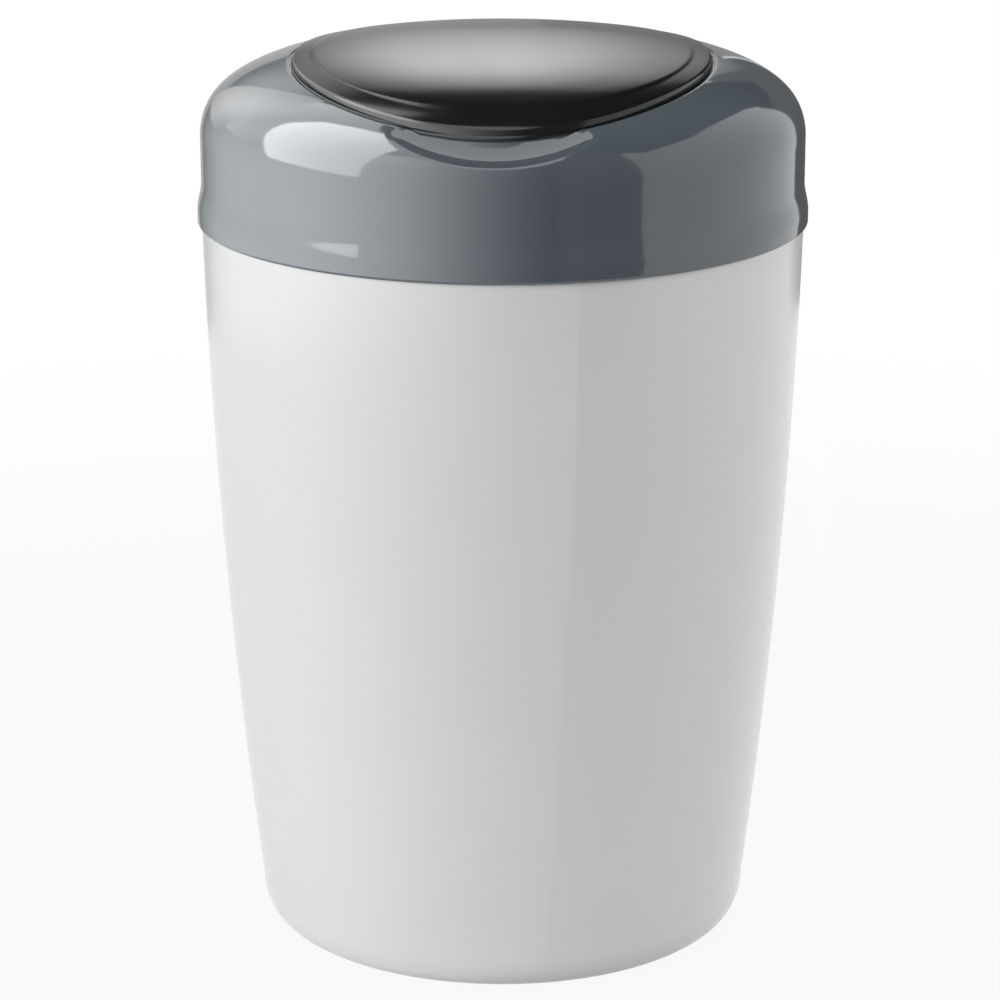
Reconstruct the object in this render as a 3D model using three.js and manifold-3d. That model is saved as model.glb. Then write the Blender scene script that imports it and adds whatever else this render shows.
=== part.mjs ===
// A nappy bin: a round tapered tub, a lift-off top unit with a hinged elliptical flap,
// and a film cassette hanging in a well under a twist ring, closed below by sprung fingers.
// Millimetres, +Z up. The bin stands on z = 0 with its axis on x = y = 0 and its front at -Y.
import * as THREE from 'three';
import { mergeVertices } from 'three/addons/utils/BufferGeometryUtils.js';
import Module from 'manifold-3d';

const wasm = await Module();
wasm.setup();

// Clearances and tolerances
const seatGap = 0.3;
const slideGap = 0.5;
const runningGap = 1.1;
const overrun = 2;
const weldTolerance = 1e-4;

// Facet counts
const roundFacets = 44;
const ringFacets = 32;
const smallFacets = 8;
const arcSteps = 4;

const tub = {
  baseRadius: 97.6,
  heelRadius: 106.6,
  heelHeight: 15.6,
  shoulderRadius: 127.7,
  shoulderHeight: 312.5,
  bulge: 3.7,
  wall: 2.4,
  floor: 3,
  standWidth: 6,
  standDepth: 3.5,
  neckStep: 3.5,
  neckHeight: 25.5,
  shoulderRound: 1.5,
  wallSteps: 5,
};
tub.rimHeight = tub.shoulderHeight + tub.neckHeight;
tub.neckRadius = tub.shoulderRadius - tub.neckStep;
tub.neckInner = tub.neckRadius - tub.wall;

const lid = {
  lap: 1,
  lapEase: 5,
  skirtProud: 1.8,
  skirtRound: 0.5,
  flareHeight: 14,
  flareLead: 2.5,
  wallHeight: 36.7,
  domeHeight: 39,
  wall: 2.3,
  domeSteps: 12,
  flareSteps: 4,
};
lid.wallRadius = tub.shoulderRadius;
lid.skirtRadius = lid.wallRadius + lid.skirtProud;
lid.edge = tub.shoulderHeight - lid.lap;
lid.domeFoot = lid.edge + lid.wallHeight;
lid.innerRadius = lid.wallRadius - lid.wall;

// The dome's outline as shares of the wall radius and of the dome's height
const domeShares = [
  [1, 0],
  [0.9937, 0.145],
  [0.982, 0.274],
  [0.9616, 0.383],
  [0.9366, 0.475],
  [0.906, 0.551],
  [0.8724, 0.617],
  [0.8363, 0.675],
  [0.7987, 0.728],
  [0.7596, 0.771],
  [0.7204, 0.807],
  [0.6265, 0.868],
  [0.4698, 0.937],
  [0.3132, 0.979],
  [0.1566, 0.996],
  [0, 1],
];

// The opening in the dome, its stepped lip, the ledge under the flap and the collar below it
const opening = {
  sideLand: 39.1,
  frontLand: 10.1,
  rearLand: 30.1,
  depth: 2.6,
  ledge: 5.2,
  lip: 1.4,
  lipStep: 0.3,
  lipFall: 0.35,
  wall: 2.2,
};
opening.semiX = lid.wallRadius - opening.sideLand;
opening.semiY = lid.wallRadius - (opening.frontLand + opening.rearLand) / 2;
opening.centreY = (opening.frontLand - opening.rearLand) / 2;
opening.throatX = opening.semiX - opening.ledge;
opening.throatY = opening.semiY - opening.ledge;
opening.back = opening.centreY + opening.semiY;

const flap = {
  edgeGap: 1.2,
  sheet: 2.2,
  proud: 2,
  rearProud: 0,
  edgeFall: 2,
  roundWidth: 2.6,
  ledgeGap: 0.4,
  levelUntil: 10,
  bossRadius: 4,
  bossInset: 12,
  gridShares: [0.4, 0.7, 0.9],
};
flap.semiX = opening.semiX - flap.edgeGap;
flap.semiY = opening.semiY - flap.edgeGap;
flap.back = opening.centreY + flap.semiY;
flap.rimLift = flap.ledgeGap - opening.depth;

const scoop = {
  halfAngle: THREE.MathUtils.degToRad(26),
  offset: 0.3,
  rise: 23.8,
  radialReach: 20,
  verticalReach: 14.5,
  wall: 2.2,
  facets: 16,
  rings: 12,
};

scoop.radius = lid.wallRadius + scoop.offset;
scoop.height = lid.domeFoot + scoop.rise;

const hinge = {
  setBack: 6.4,
  sink: 5.5,
  pinRadius: 1.5,
  barrelRadius: 3.4,
  barrelHalf: 22,
  bossRadius: 4.2,
  bossLength: 7.5,
  pinInset: 0.6,
  pocketFront: 2.6,
  pocketBack: 7,
  pocketWall: 2,
  webInset: 1.2,
};
hinge.y = opening.back + hinge.setBack;
hinge.boreRadius = hinge.pinRadius + seatGap;
hinge.pocketHalf = hinge.barrelHalf + slideGap;
hinge.pinHalf = hinge.pocketHalf + hinge.bossLength - hinge.pinInset;

// The frame that closes the underside of the top unit and carries the well
const frame = {
  flange: 2.7,
  skirtWall: 2,
  skirtDepth: 13,
  wellInset: 11.4,
  wellWall: 2.2,
  wellDepth: 66,
  wellFloor: 2.4,
  wellLip: 12,
  sealOffset: 6,
  sealLand: 3,
  sealHeight: 11,
};
frame.wellRadius = opening.throatX - frame.wellInset;
frame.sealRadius = frame.wellRadius + frame.sealOffset;
frame.bottom = tub.rimHeight + seatGap;
frame.top = frame.bottom + frame.flange;
frame.outer = lid.innerRadius - slideGap;
frame.skirtOuter = tub.neckInner - slideGap;
frame.wellOuter = frame.wellRadius + frame.wellWall;
frame.floorTop = frame.top - frame.wellDepth + frame.wellFloor;
frame.floorBottom = frame.top - frame.wellDepth;
frame.sealInner = frame.sealRadius - frame.sealLand / 2;
frame.sealOuter = frame.sealRadius + frame.sealLand / 2;
frame.sealTop = frame.top + frame.sealHeight;
flap.bossCircle = frame.wellRadius - flap.bossInset;

const screw = {
  shankRadius: 1.3,
  headRadius: 3.4,
  headHeight: 2,
  holeRadius: 1.7,
  driveRadius: 1.5,
  driveDepth: 1.1,
  driveSides: 6,
};
const frameScrew = {
  inset: 13.4,
  bossRadius: 4.5,
  bite: 12,
  angles: [0, 50, 130, 180, 230, 310],
};
frameScrew.circle = lid.innerRadius - frameScrew.inset;
const flapScrew = {
  bite: 8,
  angles: [45, 135, 225, 315],
};

const liner = {
  plate: 2,
  rimDrop: 4.6,
  throatGap: 2,
  drop: 9.5,
  ridgeWall: 2.5,
};
liner.ridgeOuter = frame.sealOuter + liner.ridgeWall / 2 - seatGap;
liner.ridgeInner = liner.ridgeOuter - liner.ridgeWall;

const seal = {
  base: 3.4,
  legHeight: 5,
  legWall: 1.5,
};
seal.bottom = frame.sealTop + seatGap;
seal.top = seal.bottom + seal.base;
seal.legOuter = liner.ridgeInner - seatGap;
seal.inner = seal.legOuter - seal.legWall;

const cassette = {
  height: 53,
  wall: 1.8,
  slack: 1,
  trough: 13.8,
  capPlate: 2.2,
  capLip: 3,
  mouth: 1.2,
  keySlot: 4,
  keyInset: 6,
  filmSlack: 1.3,
  filmHeadroom: 5,
};
cassette.bottom = frame.floorTop + seatGap;
cassette.top = cassette.bottom + cassette.height;
cassette.outer = frame.wellRadius - cassette.slack;
cassette.passage = frame.wellRadius - cassette.trough;
cassette.keyCircle = frame.wellRadius - cassette.keyInset;
cassette.coreOuter = cassette.passage + cassette.wall;
cassette.capBottom = cassette.top + seatGap;
cassette.capTop = cassette.capBottom + cassette.capPlate;

const keys = {
  count: 3,
  span: THREE.MathUtils.degToRad(10),
  slack: THREE.MathUtils.degToRad(1),
  bite: 1.4,
  first: THREE.MathUtils.degToRad(60),
};

const twist = {
  boreStep: 0.8,
  flange: 2.8,
  tubeWall: 2,
  gripWidth: 6,
  gripHeight: 12,
  gripSpan: THREE.MathUtils.degToRad(44),
  gripSteps: 8,
};
twist.bore = cassette.passage + twist.boreStep;
twist.gripOuter = frame.wellRadius;
twist.gripInner = twist.gripOuter - twist.gripWidth;
twist.bottom = frame.top + seatGap;
twist.top = twist.bottom + twist.flange;
twist.outer = frame.sealInner - runningGap;
twist.tubeOuter = frame.wellRadius - slideGap;
twist.tubeInner = twist.tubeOuter - twist.tubeWall;
twist.tubeBottom = cassette.capTop + runningGap;

// The film cutter: a thumb slide on the twist ring with a blade below it
const cutter = {
  angle: THREE.MathUtils.degToRad(-60),
  travel: 4,
  stemWidth: 4.4,
  stemLength: 4,
  stemDrop: 2.6,
  knobWidth: 11,
  knobLength: 7,
  knobHeight: 5.6,
  knobRound: 1.2,
  bladeThick: 0.8,
  bladeLength: 7,
  bladeHeight: 5.5,
  bladeGrip: 1.8,
  bladeBevel: 2.4,
};
cutter.stemOuter = twist.tubeInner - seatGap;
cutter.stemInner = cutter.stemOuter - cutter.stemLength;
cutter.knobOuter = cutter.stemOuter + (cutter.knobLength - cutter.stemLength) / 2;
cutter.knobInner = cutter.knobOuter - cutter.knobLength;
cutter.knobBottom = twist.top + seatGap;
cutter.stemBottom = twist.bottom - cutter.stemDrop;

// The gripper: a collar pushed over the well's foot, with lugs for six sprung fingers
const gripper = {
  count: 6,
  collarWall: 2,
  collarHeight: 9,
  plate: 2.4,
  boreInset: 10,
  hingeInset: 4.5,
  hingeDrop: 3.6,
  lugWidth: 4,
  lugDepth: 5.4,
  lugHeight: 5.6,
  fingerShare: 0.365,
  barrelRadius: 1.9,
  stubRadius: 1.2,
  stubLength: 3.2,
  plateThick: 1.6,
  fingerGap: 1.2,
  tipRadius: 7,
};
gripper.bore = frame.wellRadius - gripper.boreInset;
gripper.hingeRadius = gripper.bore - gripper.hingeInset;
gripper.fingerHalf = gripper.hingeRadius * gripper.fingerShare;
gripper.top = frame.floorBottom - seatGap;
gripper.bottom = gripper.top - gripper.plate;
gripper.collarInner = frame.wellOuter + seatGap;
gripper.collarOuter = gripper.collarInner + gripper.collarWall;
gripper.axisHeight = gripper.bottom - gripper.hingeDrop;
gripper.lugInner = gripper.fingerHalf + seatGap;

// Materials: colour, roughness and metalness of each finish
const finishes = {
  whiteGloss: { color: 0xf3f3f1, roughness: 0.22, metalness: 0 },
  greyGloss: { color: 0x8c959c, roughness: 0.2, metalness: 0 },
  blackSatin: { color: 0x191a1c, roughness: 0.36, metalness: 0 },
  whiteMatt: { color: 0xe4e5e4, roughness: 0.5, metalness: 0 },
  greyMatt: { color: 0x767d83, roughness: 0.55, metalness: 0 },
  blackRubber: { color: 0x202022, roughness: 0.85, metalness: 0 },
  tealPlastic: { color: 0x3f8f95, roughness: 0.4, metalness: 0 },
  film: { color: 0xdfeaf0, roughness: 0.45, metalness: 0 },
  steel: { color: 0xb9bcbf, roughness: 0.3, metalness: 1 },
};

const bin = new THREE.Group();

/** Adds one named mesh to a group, with a material of its own. */
function place(group, name, finish, shape) {
  const geometry = shape.isBufferGeometry ? shape : geometryOf(shape);
  const mesh = new THREE.Mesh(geometry, new THREE.MeshStandardMaterial(finishes[finish]));
  mesh.name = name;
  group.add(mesh);
  return mesh;
}

/** Merges a geometry's shared corners and drops the triangles that a pole leaves empty. */
function weld(geometry) {
  const bare = geometry.clone();
  bare.deleteAttribute('normal');
  bare.deleteAttribute('uv');
  const merged = mergeVertices(bare, weldTolerance);
  const corners = merged.index.array;
  const kept = [];
  for (let i = 0; i < corners.length; i += 3) {
    const [a, b, c] = corners.slice(i, i + 3);
    if (a !== b && b !== c && c !== a) kept.push(a, b, c);
  }
  merged.setIndex(kept);
  return merged;
}

/** Turns a closed geometry into a solid that can be cut and joined. */
function solidOf(geometry) {
  const welded = weld(geometry);
  const mesh = new wasm.Mesh({
    numProp: 3,
    vertProperties: new Float32Array(welded.attributes.position.array),
    triVerts: new Uint32Array(welded.index.array),
  });
  return new wasm.Manifold(mesh);
}

/** Turns a solid back into a geometry. */
function geometryOf(solid) {
  const mesh = solid.getMesh();
  const geometry = new THREE.BufferGeometry();
  geometry.setAttribute('position', new THREE.BufferAttribute(mesh.vertProperties, 3));
  geometry.setIndex(new THREE.BufferAttribute(mesh.triVerts, 1));
  geometry.computeVertexNormals();
  return geometry;
}

/** Joins several solids into one. */
function join(...solids) {
  return solids.reduce((whole, next) => whole.add(next));
}

/** Spins an outline of [radius, height] points about the Z axis; the outline runs anticlockwise. */
function spin(outline, facets = roundFacets) {
  const points = outline.map(([radius, height]) => new THREE.Vector2(radius, height));
  return new THREE.LatheGeometry(points, facets).rotateX(Math.PI / 2);
}

/** Closes a ring outline on itself and spins it. */
function ring(outline, facets = roundFacets) {
  return spin([...outline, outline[0]], facets);
}

/** A plain tube or washer about the Z axis. */
function tube(inner, outer, bottom, top, facets = ringFacets) {
  return ring([[inner, bottom], [outer, bottom], [outer, top], [inner, top]], facets);
}

/** A cylinder about a vertical line through (x, y). */
function post(radius, bottom, top, x = 0, y = 0, facets = smallFacets) {
  const height = top - bottom;
  const middle = (top + bottom) / 2;
  return new THREE.CylinderGeometry(radius, radius, height, facets)
    .rotateX(Math.PI / 2)
    .translate(x, y, middle);
}

/** A cylinder along X, between two places on a line through (y, z). */
function rod(radius, start, end, y, z, facets = smallFacets) {
  return new THREE.CylinderGeometry(radius, radius, end - start, facets)
    .rotateZ(Math.PI / 2)
    .translate((start + end) / 2, y, z);
}

/** A box between two corners. */
function block(x0, y0, z0, x1, y1, z1) {
  return new THREE.BoxGeometry(x1 - x0, y1 - y0, z1 - z0)
    .translate((x0 + x1) / 2, (y0 + y1) / 2, (z0 + z1) / 2);
}

/** A vertical prism with an elliptical plan about the opening's centre. */
function ovalPrism(semiX, semiY, bottom, top) {
  const shape = new THREE.Shape();
  shape.absellipse(0, opening.centreY, semiX, semiY, 0, Math.PI * 2);
  const options = { depth: top - bottom, bevelEnabled: false, curveSegments: roundFacets };
  return new THREE.ExtrudeGeometry(shape, options).translate(0, 0, bottom);
}

/** A part of a ring between two angles, standing between two heights. */
function ringSector(inner, outer, bottom, top, from, to, steps) {
  const shape = new THREE.Shape();
  for (let i = 0; i <= steps; i += 1) {
    const angle = from + (to - from) * i / steps;
    const x = outer * Math.cos(angle);
    const y = outer * Math.sin(angle);
    if (i === 0) shape.moveTo(x, y);
    else shape.lineTo(x, y);
  }
  for (let i = steps; i >= 0; i -= 1) {
    const angle = from + (to - from) * i / steps;
    shape.lineTo(inner * Math.cos(angle), inner * Math.sin(angle));
  }
  shape.closePath();
  const options = { depth: top - bottom, bevelEnabled: false };
  return new THREE.ExtrudeGeometry(shape, options).translate(0, 0, bottom);
}

/** Points of a quarter ellipse between two corners of an outline. */
function quarterArc(centreR, centreZ, semiR, semiZ, from, to) {
  const points = [];
  for (let i = 0; i <= arcSteps; i += 1) {
    const angle = from + (to - from) * i / arcSteps;
    points.push([centreR + semiR * Math.cos(angle), centreZ + semiZ * Math.sin(angle)]);
  }
  return points;
}

/** Moves an outline's points inwards, square to the line through their neighbours. */
function offsetInwards(outline, distance) {
  return outline.map(([radius, height], i) => {
    const before = outline[Math.max(i - 1, 0)];
    const after = outline[Math.min(i + 1, outline.length - 1)];
    const run = after[0] - before[0];
    const rise = after[1] - before[1];
    const length = Math.hypot(run, rise);
    return [Math.max(radius - distance * rise / length, 0), height + distance * run / length];
  });
}

/** An angle in degrees as a place on a circle about the Z axis. */
function onCircle(radius, degrees) {
  const angle = THREE.MathUtils.degToRad(degrees);
  return [radius * Math.cos(angle), radius * Math.sin(angle)];
}

// The dome as a smooth curve, read by radius
const domeCurve = new THREE.SplineCurve(domeShares.map(([across, up]) => new THREE.Vector2(
  across * lid.wallRadius,
  lid.domeFoot + up * lid.domeHeight,
)));
const domeTable = domeCurve.getPoints(domeShares.length * smallFacets);

/** Height of the dome's outer surface at a radius, level with its foot beyond the wall. */
function domeHeight(radius) {
  for (let i = 1; i < domeTable.length; i += 1) {
    const outer = domeTable[i - 1];
    const inner = domeTable[i];
    if (radius >= inner.x && inner.x < outer.x) {
      const share = Math.min((radius - inner.x) / (outer.x - inner.x), 1);
      return THREE.MathUtils.lerp(inner.y, outer.y, share);
    }
  }
  return domeTable[domeTable.length - 1].y;
}

hinge.z = domeHeight(hinge.y) - hinge.sink;
hinge.floor = hinge.z - hinge.barrelRadius - slideGap;
liner.dishTop = domeHeight(liner.ridgeInner) - liner.drop;
liner.dishBottom = liner.dishTop - liner.plate;

/**
 * A closed slab with an elliptical plan, between two surfaces that are given as heights.
 * rings lists the elliptical rings of its grid as shares of the semi-axes.
 */
function ovalSlab(semiX, semiY, rings, bottomAt, topAt) {
  const positions = [];
  const corners = [];
  const layer = (heightAt) => {
    positions.push(0, opening.centreY, heightAt(0, opening.centreY, 0));
    for (const share of rings) {
      for (let j = 0; j < roundFacets; j += 1) {
        const angle = Math.PI * 2 * j / roundFacets;
        const x = semiX * share * Math.cos(angle);
        const y = opening.centreY + semiY * share * Math.sin(angle);
        positions.push(x, y, heightAt(x, y, share));
      }
    }
  };
  layer(topAt);
  const bottomStart = positions.length / 3;
  layer(bottomAt);
  const at = (start, ringIndex, j) => start + 1 + ringIndex * roundFacets + j % roundFacets;
  const last = rings.length - 1;
  for (let j = 0; j < roundFacets; j += 1) {
    corners.push(0, at(0, 0, j), at(0, 0, j + 1));
    corners.push(bottomStart, at(bottomStart, 0, j + 1), at(bottomStart, 0, j));
    for (let i = 0; i < last; i += 1) {
      const top = [at(0, i, j), at(0, i + 1, j), at(0, i + 1, j + 1), at(0, i, j + 1)];
      const bottom = [i, i + 1].flatMap((k) => [at(bottomStart, k, j), at(bottomStart, k, j + 1)]);
      corners.push(top[0], top[1], top[2], top[0], top[2], top[3]);
      corners.push(bottom[0], bottom[3], bottom[2], bottom[0], bottom[1], bottom[3]);
    }
    const rim = [0, bottomStart].flatMap((start) => [at(start, last, j), at(start, last, j + 1)]);
    corners.push(rim[0], rim[2], rim[3], rim[0], rim[3], rim[1]);
  }
  const geometry = new THREE.BufferGeometry();
  geometry.setAttribute('position', new THREE.Float32BufferAttribute(positions, 3));
  geometry.setIndex(corners);
  return geometry;
}

/** A screw that points up, with its head's seat at a height and a six-sided drive in its head. */
function screwSolid(seatHeight, bite) {
  const shank = solidOf(post(screw.shankRadius, seatHeight - screw.headHeight / 2, seatHeight + bite));
  const head = solidOf(post(screw.headRadius, seatHeight - screw.headHeight, seatHeight));
  const driveBottom = seatHeight - screw.headHeight - overrun;
  const driveTop = seatHeight - screw.headHeight + screw.driveDepth;
  const drive = solidOf(post(screw.driveRadius, driveBottom, driveTop, 0, 0, screw.driveSides));
  return join(shank, head).subtract(drive);
}

/** Outer radius of the tub's wall at a height between its heel and its shoulder. */
function tubRadius(height) {
  const share = (height - tub.heelHeight) / (tub.shoulderHeight - tub.heelHeight);
  const straight = THREE.MathUtils.lerp(tub.heelRadius, tub.shoulderRadius, share);
  return straight + tub.bulge * 4 * share * (1 - share);
}

/** The tub: a tapered, slightly swollen wall on a standing ring, stepped in to a neck. */
function makeTub() {
  const wallPoints = [];
  for (let i = 1; i <= tub.wallSteps; i += 1) {
    const height = THREE.MathUtils.lerp(tub.heelHeight, tub.shoulderHeight, i / tub.wallSteps);
    wallPoints.push([tubRadius(height), height]);
  }
  const heelRun = tub.heelRadius - tub.baseRadius;
  const outerHeel = quarterArc(tub.baseRadius, tub.heelHeight, heelRun, tub.heelHeight, -Math.PI / 2, 0);
  const floorTop = tub.standDepth + tub.floor;
  const innerRise = tub.heelHeight - floorTop;
  const innerFoot = tub.baseRadius - tub.wall;
  const innerHeel = quarterArc(innerFoot, tub.heelHeight, heelRun, innerRise, 0, -Math.PI / 2);
  const innerWall = wallPoints.slice(0, -1).reverse()
    .map(([radius, height]) => [radius - tub.wall, height]);
  const standInner = tub.baseRadius - tub.standWidth;
  const neckFoot = tub.shoulderHeight + tub.shoulderRound;
  return spin([
    [0, tub.standDepth],
    [standInner - tub.shoulderRound, tub.standDepth],
    [standInner, 0],
    ...outerHeel,
    ...wallPoints,
    [tub.shoulderRadius - tub.shoulderRound, neckFoot],
    [tub.neckRadius, neckFoot],
    [tub.neckRadius, tub.rimHeight],
    [tub.neckInner, tub.rimHeight],
    [tub.neckInner, neckFoot],
    [tub.neckInner + tub.shoulderRound, tub.shoulderHeight - tub.shoulderRound],
    ...innerWall,
    ...innerHeel,
    [0, floorTop],
  ]);
}

/** Outer radius of the cover's skirt at a height above its lower edge. */
function flareRadius(rise) {
  const ease = THREE.MathUtils.smoothstep(rise, -lid.flareLead, lid.flareHeight);
  return THREE.MathUtils.lerp(lid.skirtRadius, lid.wallRadius, ease);
}

/** The cover's skirt as outline points: a rounded lower edge and a flare that eases into the wall. */
function coverOutline() {
  const skirt = [[flareRadius(0) - lid.skirtRound, lid.edge]];
  for (let i = 0; i <= lid.flareSteps; i += 1) {
    const rise = THREE.MathUtils.lerp(lid.skirtRound, lid.flareHeight, i / lid.flareSteps);
    skirt.push([flareRadius(rise), lid.edge + rise]);
  }
  return skirt;
}

/** The dome's points, from its foot up to the axis. */
function domeOutline() {
  return domeCurve.getSpacedPoints(lid.domeSteps).map((point) => [point.x, point.y]);
}

/** The whole space under the cover's outer surface. */
function coverBulk() {
  return solidOf(spin([[0, lid.edge], ...coverOutline(), ...domeOutline()]));
}

/** The space under the dome, lowered by a distance. */
function loweredBulk(distance) {
  return coverBulk().translate(0, 0, -distance);
}

/** The hollow of the cover: clear of the tub's shoulder below, and a wall inside the dome. */
function coverHollow() {
  const tubClear = tub.shoulderRadius + slideGap;
  const lapTop = tub.shoulderHeight + runningGap;
  const innerDome = offsetInwards(domeOutline(), lid.wall);
  const crown = innerDome.pop();
  return solidOf(spin([
    [0, lid.edge - overrun],
    [tubClear, lid.edge - overrun],
    [tubClear, lapTop],
    [lid.innerRadius, lapTop + lid.lapEase],
    ...innerDome,
    [0, crown[1]],
  ]));
}

/**
 * The finger scoop as a solid: an ellipsoid bent round the bin's axis and grown by a margin.
 * It thins towards its two ends, so that its edge runs out in a shallow arc.
 */
function scoopShape(margin) {
  const ball = new THREE.SphereGeometry(1, scoop.facets, scoop.rings);
  const corners = ball.attributes.position;
  const halfAngle = scoop.halfAngle + margin / scoop.radius;
  for (let i = 0; i < corners.count; i += 1) {
    const along = corners.getY(i);
    const thinning = Math.sqrt(Math.max(1 - along * along, 0));
    const angle = along * halfAngle;
    const radius = scoop.radius + corners.getZ(i) * (scoop.radialReach + margin);
    const height = scoop.height - corners.getX(i) * (thinning * scoop.verticalReach + margin);
    corners.setXYZ(i, radius * Math.sin(angle), -radius * Math.cos(angle), height);
  }
  return solidOf(ball);
}

/** The cut that makes the opening: a stepped lip, a recess down to the ledge, and the throat. */
function openingCut() {
  const above = lid.domeFoot + lid.domeHeight + overrun;
  const recess = solidOf(ovalPrism(opening.semiX, opening.semiY, lid.domeFoot, above));
  const lipX = opening.semiX + opening.lip;
  const lipY = opening.semiY + opening.lip;
  const lipShare = opening.semiX / lipX;
  const lip = solidOf(ovalSlab(
    lipX,
    lipY,
    [lipShare, 1],
    (x, y, share) => domeHeight(Math.hypot(x, y)) - opening.lipStep - (share < 1 ? opening.lipFall : 0),
    () => above,
  ));
  const throat = solidOf(ovalPrism(opening.throatX, opening.throatY, frame.bottom, above));
  return join(recess.subtract(loweredBulk(opening.depth)), lip, throat);
}

/** The parts of the cover inside its shell: ledge, collar, scoop wall, hinge pocket and bosses. */
function coverInnards() {
  const above = lid.domeFoot + lid.domeHeight;
  const wall = opening.wall;
  const slab = solidOf(ovalPrism(opening.semiX + wall, opening.semiY + wall, lid.domeFoot, above))
    .subtract(loweredBulk(opening.depth + wall));
  const collar = solidOf(ovalPrism(opening.throatX + wall, opening.throatY + wall, twist.bottom, above));
  const scoopWall = scoopShape(scoop.wall);
  const half = hinge.pocketHalf + hinge.pocketWall;
  const pocket = solidOf(block(
    -half,
    opening.back - hinge.pocketFront - hinge.pocketWall,
    hinge.floor - hinge.pocketWall,
    half,
    hinge.y + hinge.pocketBack + hinge.pocketWall,
    above,
  ));
  const bossEnd = hinge.pocketHalf + hinge.bossLength;
  const pinBoss = solidOf(rod(hinge.bossRadius, -bossEnd, bossEnd, hinge.y, hinge.z));
  const bosses = frameScrew.angles.map((degrees) => {
    const [x, y] = onCircle(frameScrew.circle, degrees);
    return solidOf(post(frameScrew.bossRadius, twist.bottom, above, x, y));
  });
  return join(slab, collar, scoopWall, pocket, pinBoss, ...bosses);
}

/** The cuts for the flap's barrel, its pin and the frame's screws. */
function coverHoles() {
  const above = lid.domeFoot + lid.domeHeight;
  const pocket = solidOf(block(
    -hinge.pocketHalf,
    opening.back - hinge.pocketFront,
    hinge.floor,
    hinge.pocketHalf,
    hinge.y + hinge.pocketBack,
    above,
  ));
  const reach = hinge.pocketHalf + hinge.bossLength + overrun;
  const bore = solidOf(rod(hinge.boreRadius, -reach, reach, hinge.y, hinge.z));
  const holes = frameScrew.angles.map((degrees) => {
    const [x, y] = onCircle(frameScrew.circle, degrees);
    const top = frame.bottom + frameScrew.bite + runningGap;
    return solidOf(post(screw.shankRadius + seatGap, frame.bottom, top, x, y));
  });
  return join(pocket, bore, ...holes);
}

/** The lid's cover: a domed shell with its opening, ledge, collar, scoop and hinge pocket. */
function makeLidCover() {
  const bulk = coverBulk();
  const shell = bulk.subtract(coverHollow());
  const collarSide = solidOf(ovalPrism(
    opening.throatX + opening.wall,
    opening.throatY + opening.wall,
    lid.edge,
    lid.domeFoot + lid.domeHeight,
  ));
  const scoopCut = scoopShape(0).subtract(collarSide);
  return shell
    .add(coverInnards().intersect(bulk))
    .subtract(openingCut())
    .subtract(scoopCut)
    .subtract(coverHoles());
}

/** The lid's frame: flange, register skirt, seal land and the well that holds the cassette. */
function makeLidFrame() {
  const outline = [
    [frame.wellRadius, frame.floorTop],
    [frame.wellRadius - frame.wellLip, frame.floorTop],
    [frame.wellRadius - frame.wellLip, frame.floorBottom],
    [frame.wellOuter, frame.floorBottom],
    [frame.wellOuter, frame.bottom],
    [frame.skirtOuter - frame.skirtWall, frame.bottom],
    [frame.skirtOuter - frame.skirtWall, frame.bottom - frame.skirtDepth],
    [frame.skirtOuter, frame.bottom - frame.skirtDepth],
    [frame.skirtOuter, frame.bottom],
    [frame.outer, frame.bottom],
    [frame.outer, frame.top],
    [frame.sealOuter, frame.top],
    [frame.sealOuter, frame.sealTop],
    [frame.sealInner, frame.sealTop],
    [frame.sealInner, frame.top],
    [frame.wellRadius, frame.top],
  ];
  const holes = frameScrew.angles.map((degrees) => {
    const [x, y] = onCircle(frameScrew.circle, degrees);
    return solidOf(post(screw.holeRadius, frame.bottom - overrun, frame.top + overrun, x, y));
  });
  return solidOf(ring(outline, ringFacets)).subtract(join(...holes));
}

/** Height of the flap's top: the dome, stood proud, level to the side and sinking at the rear. */
function flapTop(x, y, share) {
  const rear = THREE.MathUtils.smoothstep(y, flap.levelUntil, flap.back);
  const proud = THREE.MathUtils.lerp(flap.proud, flap.rearProud, rear);
  const inset = (1 - share) * flap.semiX;
  const fall = 1 - Math.min(inset / flap.roundWidth, 1);
  const rounding = flap.edgeFall * (1 - Math.sqrt(1 - fall * fall));
  return domeHeight(Math.hypot(x, y)) + proud - rounding;
}

/** The flap's cover: a domed elliptical cap with a rim, screw bosses and a barrel at the rear. */
function makeFlapCover() {
  const edgeShares = [1, 2 / 3, 1 / 3].map((part) => 1 - flap.roundWidth * part / flap.semiX);
  const rings = [...flap.gridShares, ...edgeShares, 1];
  const rimBottom = (x, y) => domeHeight(Math.hypot(x, y)) + flap.rimLift;
  const cap = solidOf(ovalSlab(flap.semiX, flap.semiY, rings, rimBottom, flapTop));
  const under = solidOf(ovalSlab(
    flap.semiX - flap.sheet,
    flap.semiY - flap.sheet,
    [...flap.gridShares, 1],
    () => lid.domeFoot,
    (x, y) => flapTop(x, y, 0) - flap.sheet,
  ));
  const bossBottom = liner.dishTop + seatGap;
  const bosses = flapScrew.angles.map((degrees) => {
    const [x, y] = onCircle(flap.bossCircle, degrees);
    const top = flapTop(x, y, 0) - flap.sheet / 2;
    const holeTop = bossBottom + flapScrew.bite;
    const hole = solidOf(post(screw.shankRadius + seatGap, bossBottom - overrun, holeTop, x, y));
    return solidOf(post(flap.bossRadius, bossBottom, top, x, y)).subtract(hole);
  });
  const barrel = solidOf(rod(hinge.barrelRadius, -hinge.barrelHalf, hinge.barrelHalf, hinge.y, hinge.z));
  const bore = solidOf(rod(
    hinge.boreRadius,
    -hinge.barrelHalf - overrun,
    hinge.barrelHalf + overrun,
    hinge.y,
    hinge.z,
  ));
  return join(cap.subtract(under), ...bosses, barrel, flapWeb()).subtract(bore);
}

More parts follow.
